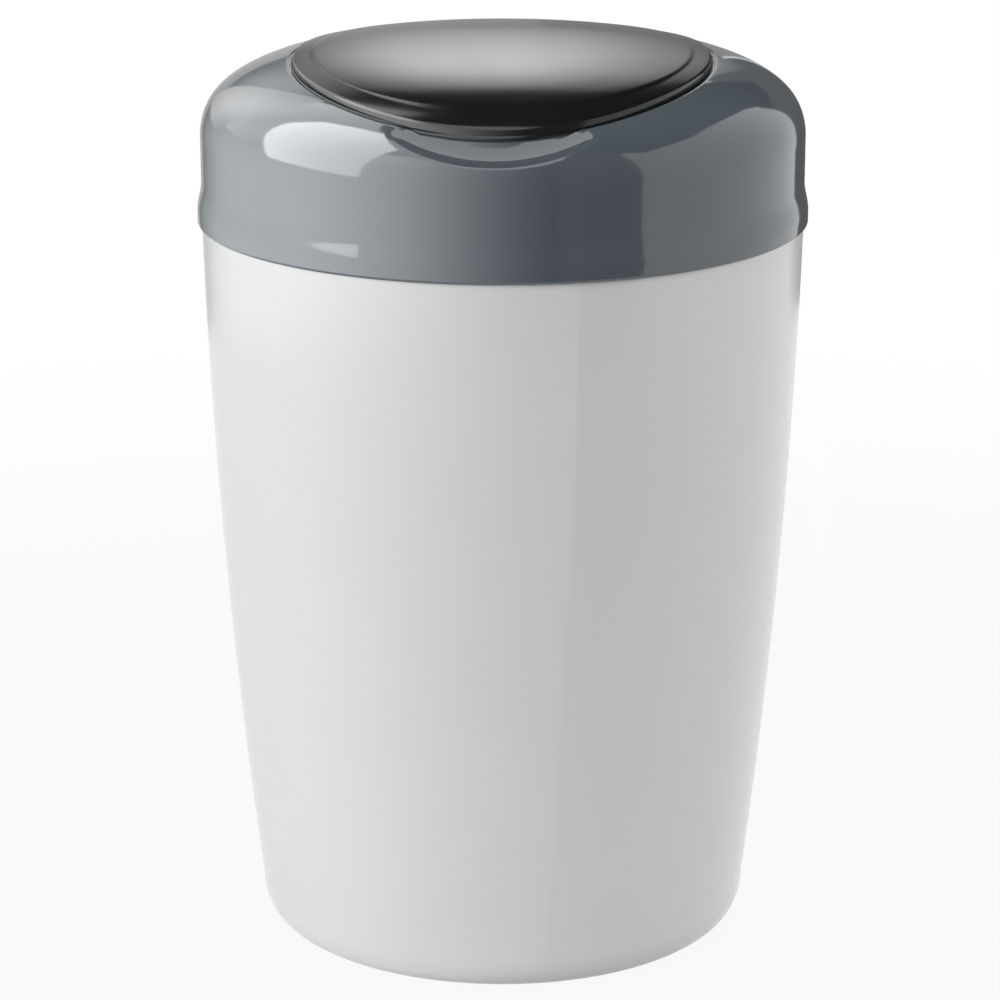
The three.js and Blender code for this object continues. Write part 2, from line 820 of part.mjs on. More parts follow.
/** The web between the flap's rear rim and its barrel. */
function flapWeb() {
  const start = flap.back - hinge.webInset;
  const rimTop = flapTop(0, flap.back, 1);
  const rimBottom = domeHeight(flap.back) + flap.rimLift;
  const shape = new THREE.Shape([
    new THREE.Vector2(start, rimBottom),
    new THREE.Vector2(hinge.y - hinge.barrelRadius, hinge.z),
    new THREE.Vector2(hinge.y, hinge.z + hinge.barrelRadius),
    new THREE.Vector2(flap.back, rimTop),
    new THREE.Vector2(start, rimTop),
  ]);
  const options = { depth: hinge.barrelHalf * 2, bevelEnabled: false };
  const web = new THREE.ExtrudeGeometry(shape, options)
    .rotateY(Math.PI / 2)
    .rotateX(Math.PI / 2)
    .translate(-hinge.barrelHalf, 0, 0);
  return solidOf(web);
}

/** The flap's liner: a rim plate, a dished middle and a round ridge that carries the seal. */
function makeFlapLiner() {
  const rimX = opening.throatX - liner.throatGap;
  const rimY = opening.throatY - liner.throatGap;
  const under = (x, y) => domeHeight(Math.hypot(x, y)) - liner.rimDrop;
  const above = lid.domeFoot + lid.domeHeight;
  const rings = [...flap.gridShares.slice(1), 1];
  const rim = solidOf(ovalSlab(rimX, rimY, rings, under, (x, y) => under(x, y) + liner.plate))
    .subtract(solidOf(post(liner.ridgeInner, lid.domeFoot, above, 0, 0, ringFacets)));
  const ridgeBottom = seal.top + seatGap;
  const ridgeTop = domeHeight(liner.ridgeOuter) - liner.rimDrop + liner.plate / 2;
  const ridge = solidOf(tube(liner.ridgeInner, liner.ridgeOuter, ridgeBottom, ridgeTop));
  const dishRadius = liner.ridgeInner + liner.ridgeWall / 2;
  const dish = solidOf(post(dishRadius, liner.dishBottom, liner.dishTop, 0, 0, ringFacets));
  const holes = flapScrew.angles.map((degrees) => {
    const [x, y] = onCircle(flap.bossCircle, degrees);
    return solidOf(post(screw.holeRadius, lid.domeFoot, above, x, y));
  });
  return join(rim, ridge, dish).subtract(join(...holes));
}

/** The flap's seal: a soft ring under the ridge, with a leg that grips the ridge's inside. */
function makeFlapSeal() {
  return ring([
    [seal.inner, seal.bottom],
    [liner.ridgeOuter, seal.bottom],
    [liner.ridgeOuter, seal.top],
    [seal.legOuter, seal.top],
    [seal.legOuter, seal.top + seal.legHeight],
    [seal.inner, seal.top + seal.legHeight],
  ], ringFacets);
}

/** The hinge pin along the flap's barrel. */
function makeHingePin() {
  return rod(hinge.pinRadius, -hinge.pinHalf, hinge.pinHalf, hinge.y, hinge.z);
}

/** Tabs or slots that key the twist ring to the cassette's cap. */
function keySolids(margin, slack, bottom, top) {
  const reach = cassette.keySlot / 2;
  return Array.from({ length: keys.count }, (_, i) => {
    const middle = keys.first + Math.PI * 2 * i / keys.count;
    const half = keys.span / 2 + slack;
    return solidOf(ringSector(
      cassette.keyCircle - reach - margin,
      cassette.keyCircle + reach + margin,
      bottom,
      top,
      middle - half,
      middle + half,
      2,
    ));
  });
}

/** The twist ring: a turning flange with two finger grips, a register tube and key tabs. */
function makeTwistRing() {
  const flange = solidOf(tube(twist.bore, twist.outer, twist.bottom, twist.top));
  const tubeTop = twist.bottom + seatGap;
  const register = solidOf(tube(twist.tubeInner, twist.tubeOuter, twist.tubeBottom, tubeTop));
  const grips = [0, Math.PI].map((middle) => solidOf(ringSector(
    twist.gripInner,
    twist.gripOuter,
    twist.bottom + seatGap,
    twist.top + twist.gripHeight,
    middle - twist.gripSpan / 2,
    middle + twist.gripSpan / 2,
    twist.gripSteps,
  )));
  const tabs = keySolids(0, 0, cassette.capTop - keys.bite, twist.bottom + seatGap);
  const slotHalf = cutter.stemWidth / 2 + seatGap;
  const slot = solidOf(block(
    cutter.stemInner - cutter.travel - seatGap,
    -slotHalf,
    twist.tubeBottom - overrun,
    cutter.stemOuter + seatGap,
    slotHalf,
    twist.top + overrun,
  ).rotateZ(cutter.angle));
  return join(flange, register, ...grips, ...tabs).subtract(slot);
}

/** The cutter's thumb slide, its stem slit for the blade. */
function makeCutterKnob() {
  const half = cutter.knobWidth / 2;
  const top = cutter.knobBottom + cutter.knobHeight;
  const outline = new THREE.Shape([
    new THREE.Vector2(cutter.knobInner, cutter.knobBottom),
    new THREE.Vector2(cutter.knobOuter, cutter.knobBottom),
    new THREE.Vector2(cutter.knobOuter, top - cutter.knobRound),
    new THREE.Vector2(cutter.knobOuter - cutter.knobRound, top),
    new THREE.Vector2(cutter.knobInner + cutter.knobRound, top),
    new THREE.Vector2(cutter.knobInner, top - cutter.knobRound),
  ]);
  const options = { depth: cutter.knobWidth, bevelEnabled: false };
  const knob = solidOf(new THREE.ExtrudeGeometry(outline, options)
    .rotateX(Math.PI / 2)
    .translate(0, half, 0));
  const stemHalf = cutter.stemWidth / 2;
  const stem = solidOf(block(
    cutter.stemInner,
    -stemHalf,
    cutter.stemBottom,
    cutter.stemOuter,
    stemHalf,
    cutter.knobBottom + seatGap,
  ));
  const slitHalf = cutter.bladeThick / 2 + seatGap;
  const slit = solidOf(block(
    cutter.stemInner - overrun,
    -slitHalf,
    cutter.stemBottom - overrun,
    cutter.stemOuter + overrun,
    slitHalf,
    cutter.stemBottom + cutter.bladeGrip + seatGap,
  ));
  return geometryOf(join(knob, stem).subtract(slit)).rotateZ(cutter.angle);
}

/** The cutter's blade: a thin plate with a slanted cutting end that points to the axis. */
function makeCutterBlade() {
  const top = cutter.stemBottom + cutter.bladeGrip;
  const inner = cutter.stemOuter - cutter.bladeLength;
  const bottom = top - cutter.bladeHeight;
  const outline = new THREE.Shape([
    new THREE.Vector2(inner, bottom),
    new THREE.Vector2(cutter.stemOuter, bottom),
    new THREE.Vector2(cutter.stemOuter, top),
    new THREE.Vector2(inner + cutter.bladeBevel, top),
  ]);
  const options = { depth: cutter.bladeThick, bevelEnabled: false };
  return new THREE.ExtrudeGeometry(outline, options)
    .rotateX(Math.PI / 2)
    .translate(0, cutter.bladeThick / 2, 0)
    .rotateZ(cutter.angle);
}

/** The cassette's body: a round trough whose core is the passage for the nappy. */
function makeCassetteBody() {
  const floor = cassette.bottom + cassette.wall;
  return ring([
    [cassette.passage, cassette.bottom],
    [cassette.outer, cassette.bottom],
    [cassette.outer, cassette.top],
    [cassette.outer - cassette.wall, cassette.top],
    [cassette.outer - cassette.wall, floor],
    [cassette.coreOuter, floor],
    [cassette.coreOuter, cassette.capTop + cassette.mouth],
    [cassette.passage, cassette.capTop + cassette.mouth],
  ], ringFacets);
}

/** The cassette's cap, with a mouth round the core for the film and slots for the keys. */
function makeCassetteCap() {
  const inner = cassette.coreOuter + cassette.mouth;
  const lipOuter = cassette.outer - cassette.wall - seatGap;
  const cap = solidOf(ring([
    [inner, cassette.capBottom],
    [lipOuter - cassette.wall, cassette.capBottom],
    [lipOuter - cassette.wall, cassette.capBottom - cassette.capLip],
    [lipOuter, cassette.capBottom - cassette.capLip],
    [lipOuter, cassette.capBottom],
    [cassette.outer, cassette.capBottom],
    [cassette.outer, cassette.capTop],
    [inner, cassette.capTop],
  ], ringFacets));
  const slots = keySolids(seatGap, keys.slack, cassette.capBottom - overrun, cassette.capTop + overrun);
  return cap.subtract(join(...slots));
}

/** The folded film, a soft round pack inside the cassette. */
function makeFilmPack() {
  return tube(
    cassette.coreOuter + cassette.filmSlack,
    cassette.outer - cassette.wall - cassette.filmSlack,
    cassette.bottom + cassette.wall + seatGap,
    cassette.top - cassette.filmHeadroom,
  );
}

/** The gripper's collar: a ring over the well's foot with a pair of lugs for each finger. */
function makeGripRing() {
  const collar = solidOf(ring([
    [gripper.bore, gripper.bottom],
    [gripper.collarOuter, gripper.bottom],
    [gripper.collarOuter, gripper.top + gripper.collarHeight],
    [gripper.collarInner, gripper.top + gripper.collarHeight],
    [gripper.collarInner, gripper.top],
    [gripper.bore, gripper.top],
  ], ringFacets));
  const lugs = [];
  for (let i = 0; i < gripper.count; i += 1) {
    for (const side of [-1, 1]) {
      const near = side * gripper.lugInner;
      const far = side * (gripper.lugInner + gripper.lugWidth);
      const lug = solidOf(block(
        gripper.hingeRadius - gripper.lugDepth / 2,
        Math.min(near, far),
        gripper.axisHeight - gripper.lugDepth / 2,
        gripper.bore + gripper.lugHeight,
        Math.max(near, far),
        gripper.bottom + seatGap,
      ));
      const hole = solidOf(rod(gripper.stubRadius + seatGap, -gripper.lugWidth, gripper.lugWidth, 0, 0)
        .rotateZ(Math.PI / 2)
        .translate(gripper.hingeRadius, (near + far) / 2, gripper.axisHeight));
      lugs.push(lug.subtract(hole).rotate(0, 0, 360 * i / gripper.count));
    }
  }
  return join(collar, ...lugs);
}

/** One sprung finger: a wedge plate with a barrel and two stub pins, pointing along +X. */
function makeGripFinger() {
  const tangent = Math.tan(Math.PI / gripper.count);
  const sideCut = gripper.fingerGap / 2 / Math.cos(Math.PI / gripper.count);
  const widthAt = (radius) => radius * tangent - sideCut;
  const shoulder = (gripper.fingerHalf + sideCut) / tangent;
  const plate = new THREE.Shape([
    new THREE.Vector2(gripper.tipRadius, -widthAt(gripper.tipRadius)),
    new THREE.Vector2(shoulder, -gripper.fingerHalf),
    new THREE.Vector2(gripper.hingeRadius, -gripper.fingerHalf),
    new THREE.Vector2(gripper.hingeRadius, gripper.fingerHalf),
    new THREE.Vector2(shoulder, gripper.fingerHalf),
    new THREE.Vector2(gripper.tipRadius, widthAt(gripper.tipRadius)),
  ]);
  const options = { depth: gripper.plateThick, bevelEnabled: false };
  const wedge = solidOf(new THREE.ExtrudeGeometry(plate, options)
    .translate(-gripper.hingeRadius, 0, -gripper.plateThick / 2));
  const turned = (geometry) => solidOf(geometry.rotateZ(Math.PI / 2));
  const barrel = turned(rod(gripper.barrelRadius, -gripper.fingerHalf, gripper.fingerHalf, 0, 0));
  const stubEnd = gripper.fingerHalf + gripper.stubLength;
  const stubs = turned(rod(gripper.stubRadius, -stubEnd, stubEnd, 0, 0));
  return join(wedge, barrel, stubs);
}

/** The tub and everything that stays with it. */
function buildTub() {
  const group = new THREE.Group();
  place(group, 'tub', 'whiteGloss', makeTub());
  return group;
}

/** The top unit: cover, frame, their screws and the hinge pin. */
function buildTopUnit() {
  const group = new THREE.Group();
  place(group, 'lid_cover', 'greyGloss', makeLidCover());
  place(group, 'lid_frame', 'whiteMatt', makeLidFrame());
  frameScrew.angles.forEach((degrees, i) => {
    const [x, y] = onCircle(frameScrew.circle, degrees);
    const mesh = place(group, `frame_screw_${i + 1}`, 'steel', screwSolid(0, frameScrew.bite));
    mesh.position.set(x, y, frame.bottom - seatGap);
  });
  place(group, 'hinge_pin', 'steel', makeHingePin());
  return group;
}

/** The flap: cover, liner, seal and screws. */
function buildFlap() {
  const group = new THREE.Group();
  place(group, 'flap_cover', 'blackSatin', makeFlapCover());
  place(group, 'flap_liner', 'greyMatt', makeFlapLiner());
  place(group, 'flap_seal', 'blackRubber', makeFlapSeal());
  flapScrew.angles.forEach((degrees, i) => {
    const [x, y] = onCircle(flap.bossCircle, degrees);
    const mesh = place(group, `flap_screw_${i + 1}`, 'steel', screwSolid(0, flapScrew.bite));
    mesh.position.set(x, y, liner.dishBottom - seatGap);
  });
  return group;
}

/** The twist ring with the cutter on it, and the cassette that turns with it. */
function buildTwistUnit() {
  const group = new THREE.Group();
  place(group, 'twist_ring', 'tealPlastic', makeTwistRing());
  place(group, 'cutter_knob', 'blackSatin', makeCutterKnob());
  place(group, 'cutter_blade', 'steel', makeCutterBlade());
  place(group, 'cassette_body', 'whiteMatt', makeCassetteBody());
  place(group, 'cassette_cap', 'tealPlastic', makeCassetteCap());
  place(group, 'film_pack', 'film', makeFilmPack());
  return group;
}

/** The gripper under the well. */
function buildGripper() {
  const group = new THREE.Group();
  place(group, 'grip_ring', 'greyMatt', makeGripRing());
  for (let i = 0; i < gripper.count; i += 1) {
    const angle = Math.PI * 2 * i / gripper.count;
    const mesh = place(group, `grip_finger_${i + 1}`, 'whiteMatt', makeGripFinger());
    mesh.rotation.z = angle;
    const x = gripper.hingeRadius * Math.cos(angle);
    const y = gripper.hingeRadius * Math.sin(angle);
    mesh.position.set(x, y, gripper.axisHeight);
  }
  return group;
}

bin.add(buildTub(), buildTopUnit(), buildFlap(), buildTwistUnit(), buildGripper());

export default bin;
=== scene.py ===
"""Looks of a round nappy bin: smooth mouldings, finishes, a pale studio and the photograph's camera.

Sizes are in millimetres until a shape becomes a piece, which is in metres.
"""

import logging
import math
from dataclasses import dataclass, field
from enum import Enum
from functools import partial
from typing import Callable, Iterable, Sequence

import bmesh
import bpy
import numpy as np
from mathutils import Matrix, Vector


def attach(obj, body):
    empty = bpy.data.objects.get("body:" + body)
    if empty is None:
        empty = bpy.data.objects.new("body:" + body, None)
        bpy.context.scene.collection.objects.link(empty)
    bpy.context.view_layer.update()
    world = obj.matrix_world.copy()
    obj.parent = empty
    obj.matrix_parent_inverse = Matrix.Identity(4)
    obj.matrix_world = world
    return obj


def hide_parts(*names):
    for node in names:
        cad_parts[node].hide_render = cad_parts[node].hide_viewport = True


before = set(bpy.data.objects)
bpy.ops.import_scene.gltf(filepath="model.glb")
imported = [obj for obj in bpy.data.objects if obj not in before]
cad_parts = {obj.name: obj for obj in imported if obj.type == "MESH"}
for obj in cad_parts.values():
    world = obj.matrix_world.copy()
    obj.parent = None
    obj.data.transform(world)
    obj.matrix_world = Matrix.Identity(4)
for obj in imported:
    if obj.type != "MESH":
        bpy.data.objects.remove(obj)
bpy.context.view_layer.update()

log = logging.getLogger("nappy_bin")

MM = 0.001
FULL_TURN = 2 * math.pi
SEAM_LIMIT = 1e-4
STUDIO_TOP = 1.25
BEVEL_STEPS = 3
MIX_COLOUR_IN = (6, 7)
MIX_COLOUR_OUT = 2

Corner = tuple[float, ...]
Colour = tuple[float, float, float]
Ring = Callable[[float], Vector]
Inputs = dict[int | str, object]


class Body(Enum):
    """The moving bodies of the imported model."""

    TUB = "tub"
    LID = "lid"
    FLAP = "flap"
    TWIST = "twist_unit"
    CUTTER = "cutter"


class Slot(Enum):
    """The record's material slots."""

    TUB = "tub_plastic"
    LID = "lid_plastic"
    FLAP = "flap_plastic"
    FRAME = "frame_plastic"
    LINER = "liner_plastic"
    RING = "ring_plastic"
    SEAL = "seal_rubber"
    FILM = "film"
    STEEL = "steel"


class Blend(Enum):
    """How one solid is combined with another."""

    CUT = "DIFFERENCE"
    ADD = "UNION"
    KEEP = "INTERSECT"


def ease(value: float, low: float, high: float) -> float:
    """Smooth step from 0 at low to 1 at high."""
    share = min(max((value - low) / (high - low), 0.0), 1.0)
    return share * share * (3 - 2 * share)


def lerp(start: float, end: float, share: float) -> float:
    """Straight blend between two numbers."""
    return start + (end - start) * share


def soft_min(first: float, second: float, width: float) -> float:
    """The lower of two heights, rounded where they are within width of each other."""
    overlap = max(width - abs(first - second), 0.0) / width
    return min(first, second) - overlap * overlap * width / 4


def polar(radius: float, angle: float, height: float = 0.0) -> Vector:
    """A place given by its radius and angle about the bin's axis, and its height."""
    return Vector((radius * math.cos(angle), radius * math.sin(angle), height))


def mesh_of(bm: bmesh.types.BMesh, name: str) -> bpy.types.Mesh:
    """Turns a bmesh into a mesh and frees it.

    Args:
        bm: the bmesh, used up by the call.
        name: the mesh's name.

    Returns:
        The mesh.
    """
    mesh = bpy.data.meshes.new(name)
    bm.to_mesh(mesh)
    bm.free()
    return mesh


def placed(name: str, data: bpy.types.ID) -> bpy.types.Object:
    """Puts a mesh, lamp or camera into the scene.

    Args:
        name: the object's name.
        data: what the object shows.

    Returns:
        The object.
    """
    made = bpy.data.objects.new(name, data)
    bpy.context.scene.collection.objects.link(made)
    return made


def rings_of(spot: Callable[..., Vector], places: Iterable[tuple[float, ...]]) -> list[Ring]:
    """One ring for each row of the numbers that a spot function takes before the angle."""
    return [partial(spot, *place) for place in places]


def eased_outline(corners: Sequence[Corner], cut: float = 0.4, steps: int = 4) -> list[Corner]:
    """Rounds the corners of a closed outline.

    Args:
        corners: (radius, height) points in order; a third number is that corner's own cut.
        cut: how far from a corner its rounding starts, where the corner names none.
        steps: segments in each rounding.

    Returns:
        The outline's points. Corners on the axis and corners with no cut stay sharp.
    """
    points: list[Corner] = []
    for index, corner in enumerate(corners):
        here = Vector(corner[:2])
        before = Vector(corners[index - 1][:2]) - here
        after = Vector(corners[(index + 1) % len(corners)][:2]) - here
        reach = min(corner[2] if len(corner) > 2 else cut, before.length / 2, after.length / 2)
        if here.x < SEAM_LIMIT or reach < SEAM_LIMIT:
            points.append(tuple(here))
            continue
        start = here + before.normalized() * reach
        end = here + after.normalized() * reach
        for step in range(steps + 1):
            share = step / steps
            middle = start.lerp(here, share).lerp(here.lerp(end, share), share)
            points.append(tuple(middle))
    return points


class Shape:
    """A closed solid in the making, held as a bmesh in millimetres."""

    def __init__(self) -> None:
        """Starts with nothing."""
        self.bm = bmesh.new()

    @classmethod
    def spun(cls, outline: Sequence[Corner], steps: int = 128) -> "Shape":
        """Spins an outline of (radius, height) points about the bin's axis.

        Args:
            outline: the points in order; an outline that starts and ends on the axis stays open there.
            steps: facets in the full turn.

        Returns:
            The closed solid.
        """
        shape = cls()
        bm = shape.bm
        corners = [bm.verts.new((point[0], 0, point[1])) for point in outline]
        on_axis = outline[0][0] < SEAM_LIMIT and outline[-1][0] < SEAM_LIMIT
        ends = corners[1:] if on_axis else corners[1:] + corners[:1]
        edges = [bm.edges.new(pair) for pair in zip(corners, ends)]
        bmesh.ops.spin(
            bm, geom=corners + edges, cent=(0, 0, 0), axis=(0, 0, 1),
            angle=FULL_TURN, steps=steps, use_merge=True,
        )
        return shape.sealed()

    @classmethod
    def eased(cls, corners: Sequence[Corner], steps: int = 128) -> "Shape":
        """Spins an outline after its corners are eased."""
        return cls.spun(eased_outline(corners), steps)

    @classmethod
    def rod(cls, radius: float, half: float, cut: float, steps: int) -> "Shape":
        """A solid rod along the upright axis, its ends eased."""
        outline = eased_outline([(0, -half), (radius, -half, cut), (radius, half, cut), (0, half)])
        return cls.spun(outline[::-1], steps)

    @classmethod
    def looped(cls, rings: Sequence[Ring], angles: Sequence[float], caps: bool = False) -> "Shape":
        """Extrudes a loop from ring to ring, each of which says where an angle's vertex goes.

        Args:
            rings: the rings in order along the skin.
            angles: the angle of each vertex in a loop.
            caps: True closes the first and last ring with a face, False joins them to each other.

        Returns:
            The closed solid.
        """
        shape = cls()
        bm = shape.bm
        turn = bm.verts.layers.float.new("turn")
        first = bmesh.ops.create_circle(bm, segments=len(angles), radius=1)["verts"]
        for vert, angle in zip(first, angles):
            vert[turn] = angle
            vert.co = rings[0](angle)
        start = list(bm.edges)
        loop = start
        for ring in rings[1:]:
            made = bmesh.ops.extrude_edge_only(bm, edges=loop)["geom"]
            loop = [item for item in made if isinstance(item, bmesh.types.BMEdge)]
            for vert in (item for item in made if isinstance(item, bmesh.types.BMVert)):
                vert.co = ring(vert[turn])
        if caps:
            bmesh.ops.contextual_create(bm, geom=start)
            bmesh.ops.contextual_create(bm, geom=loop)
        else:
            bmesh.ops.bridge_loops(bm, edges=start + loop)
        return shape.sealed()

    @classmethod
    def block(cls, low: Sequence[float], high: Sequence[float], cut: float = 0.0) -> "Shape":
        """A box between two corners, its edges rounded by a cut.

        Args:
            low: the corner with the lowest coordinates.
            high: the opposite corner.
            cut: size of the edges' rounding, 0 for sharp edges.

        Returns:
            The closed solid.
        """
        shape = cls()
        size = [end - start for start, end in zip(low, high)]
        middle = Vector([(start + end) / 2 for start, end in zip(low, high)])
        matrix = Matrix.Translation(middle) @ Matrix.Diagonal((*size, 1))
        bmesh.ops.create_cube(shape.bm, size=1, matrix=matrix)
        return shape.rounded(cut) if cut else shape

    @classmethod
    def bar(cls, start: Corner, end: Corner, half: float, cut: float = 0.0) -> "Shape":
        """A box between two (x, z) corners, which reaches as far to either side of y = 0."""
        return cls.block((start[0], -half, start[1]), (end[0], half, end[1]), cut)

    @classmethod
    def prism(cls, outline: Sequence[Corner], bottom: float, top: float, cut: float = 0.0) -> "Shape":
        """Extrudes a flat outline of (x, y) points between two heights, its edges rounded by a cut.

        Args:
            outline: the points in order.
            bottom: height of the lower face.
            top: height of the upper face.
            cut: size of the edges' rounding, 0 for sharp edges.

        Returns:
            The closed solid.
        """
        shape = cls()
        verts = [shape.bm.verts.new((x, y, bottom)) for x, y in outline]
        face = shape.bm.faces.new(verts)
        made = bmesh.ops.extrude_face_region(shape.bm, geom=[face])["geom"]
        lifted = [item for item in made if isinstance(item, bmesh.types.BMVert)]
        bmesh.ops.translate(shape.bm, verts=lifted, vec=(0, 0, top - bottom))
        shape.sealed()
        return shape.rounded(cut) if cut else shape

    @classmethod
    def arc(cls, outline: Sequence[Corner], middle: float, span: float, steps: int, cut: float) -> "Shape":
        """Sweeps a closed outline through part of a turn and rounds its two ends.

        Args:
            outline: (radius, height) points of the section.
            middle: the angle of the arc's middle.
            span: the angle that the arc covers.
            steps: segments along the arc.
            cut: rounding of the ends' edges.

        Returns:
            The closed solid.
        """
        shape = cls()
        start = Matrix.Rotation(middle - span / 2, 3, "Z")
        verts = [shape.bm.verts.new(start @ Vector((r, 0, z))) for r, z in outline]
        face = shape.bm.faces.new(verts)
        geom = [face, *face.edges, *verts]
        bmesh.ops.spin(shape.bm, geom=geom, cent=(0, 0, 0), axis=(0, 0, 1), angle=span, steps=steps)
        shape.sealed()
        return shape.rounded(cut, limit=math.radians(60))

    def sealed(self) -> "Shape":
        """Welds doubles, drops empty faces and turns every face outwards.

        Returns:
            This shape.
        """
        bmesh.ops.remove_doubles(self.bm, verts=self.bm.verts, dist=SEAM_LIMIT)
        bmesh.ops.dissolve_degenerate(self.bm, edges=self.bm.edges, dist=SEAM_LIMIT)
        bmesh.ops.recalc_face_normals(self.bm, faces=self.bm.faces)
        return self

    def rounded(self, cut: float, limit: float = math.radians(30)) -> "Shape":
        """Bevels every edge that turns by more than a limit.

        Args:
            cut: size of the rounding.
            limit: angle above which an edge counts as sharp.

        Returns:
            This shape.
        """
        sharp = [edge for edge in self.bm.edges if edge.calc_face_angle(0) > limit]
        bmesh.ops.bevel(
            self.bm, geom=sharp, offset=cut, offset_type="OFFSET", affect="EDGES",
            segments=BEVEL_STEPS, profile=0.5, clamp_overlap=True, material=-1,
        )
        return self

    def moved(self, place: Sequence[float]) -> "Shape":
        """Shifts the solid."""
        bmesh.ops.translate(self.bm, verts=self.bm.verts, vec=place)
        return self

    def turned(self, angle: float, axis: str = "Z") -> "Shape":
        """Turns the solid about an axis through the origin.

        Args:
            angle: the turn in radians.
            axis: X, Y or Z.

        Returns:
            This shape.
        """
        matrix = Matrix.Rotation(angle, 3, axis)
        bmesh.ops.rotate(self.bm, verts=self.bm.verts, cent=(0, 0, 0), matrix=matrix)
        return self

    def copy(self) -> "Shape":
        """A second solid of the same form.

        Returns:
            The new solid.
        """
        twin = Shape()
        twin.bm.free()
        twin.bm = self.bm.copy()
        return twin

    def with_parts(self, *others: "Shape") -> "Shape":
        """Lays other solids beside or into this one, as one piece.

        Args:
            *others: the other solids, used up by the call.

        Returns:
            This shape, holding them all.
        """
        for other in others:
            mesh = mesh_of(other.bm, "part")
            self.bm.from_mesh(mesh)
            bpy.data.meshes.remove(mesh)
        return self

    def blended(self, other: "Shape", how: Blend) -> "Shape":
        """Cuts, joins or trims this solid with another.

        Args:
            other: the second solid, used up by the call.
            how: what is done with it.

        Returns:
            This shape, holding the result.
        """
        pair = [placed("blend", mesh_of(shape.bm, "blend")) for shape in (self, other)]
        step = pair[0].modifiers.new("blend", "BOOLEAN")
        step.operation = how.value
        step.object = pair[1]
        step.solver = "EXACT"
        graph = bpy.context.evaluated_depsgraph_get()
        result = bpy.data.meshes.new_from_object(pair[0].evaluated_get(graph))
        self.bm = bmesh.new()
        self.bm.from_mesh(result)
        bpy.data.meshes.remove(result)
        for holder in pair:
            bpy.data.meshes.remove(holder.data)
        return self

    def piece(
        self, name: str, finish: "Finish", slot: Slot, body: Body | str, nodes: Iterable[str],
        crease: float = 38.0,
    ) -> bpy.types.Object:
        """Makes the solid a finished piece that stands for CAD nodes and rides on a body.

        Args:
            name: the piece's name.
            finish: what it is made of.
            slot: the record's material slot; not used.
            body: the body it moves with.
            nodes: the CAD nodes that it stands for.
            crease: angle in degrees above which an edge is shaded sharp.

        Returns:
            The object.
        """
        bmesh.ops.scale(self.bm, verts=self.bm.verts, vec=(MM, MM, MM))
        for face in self.bm.faces:
            face.smooth = True
        mesh = mesh_of(self.bm, name)
        mesh.set_sharp_from_angle(angle=math.radians(crease))
        mesh.materials.append(finish.material())
        made = placed(name, mesh)
        weights = made.modifiers.new("weights", "WEIGHTED_NORMAL")
        weights.keep_sharp = True
        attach(made, body.value if isinstance(body, Body) else body)
        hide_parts(*nodes)
        log.info("%s: %d faces", name, len(mesh.polygons))
        return made


class Wire:
    """A shader socket that takes part in Python arithmetic."""

    def __init__(self, sheet: "Sheet", socket: bpy.types.NodeSocket) -> None:
        """Keeps the socket and the sheet that it is drawn on."""
        self.sheet = sheet
        self.socket = socket

    def _math(self, operation: str, first: "Wire | float", second: "Wire | float") -> "Wire":
        """One Math node on two values."""
        return self.sheet.wire("Math", {0: first, 1: second}, operation=operation)

    def __add__(self, other: "Wire | float") -> "Wire":
        """Sum."""
        return self._math("ADD", self, other)

    def __sub__(self, other: "Wire | float") -> "Wire":
        """Difference."""
        return self._math("SUBTRACT", self, other)

    def __rsub__(self, other: "Wire | float") -> "Wire":
        """Difference from a number."""
        return self._math("SUBTRACT", other, self)

    def __mul__(self, other: "Wire | float") -> "Wire":
        """Product."""
        return self._math("MULTIPLY", self, other)

    def peak(self, other: "Wire | float") -> "Wire":
        """The larger of two values."""
        return self._math("MAXIMUM", self, other)

    def turn_over(self, other: "Wire | float") -> "Wire":
        """The angle whose tangent is this value over another."""
        return self._math("ARCTAN2", self, other)

    __radd__ = __add__


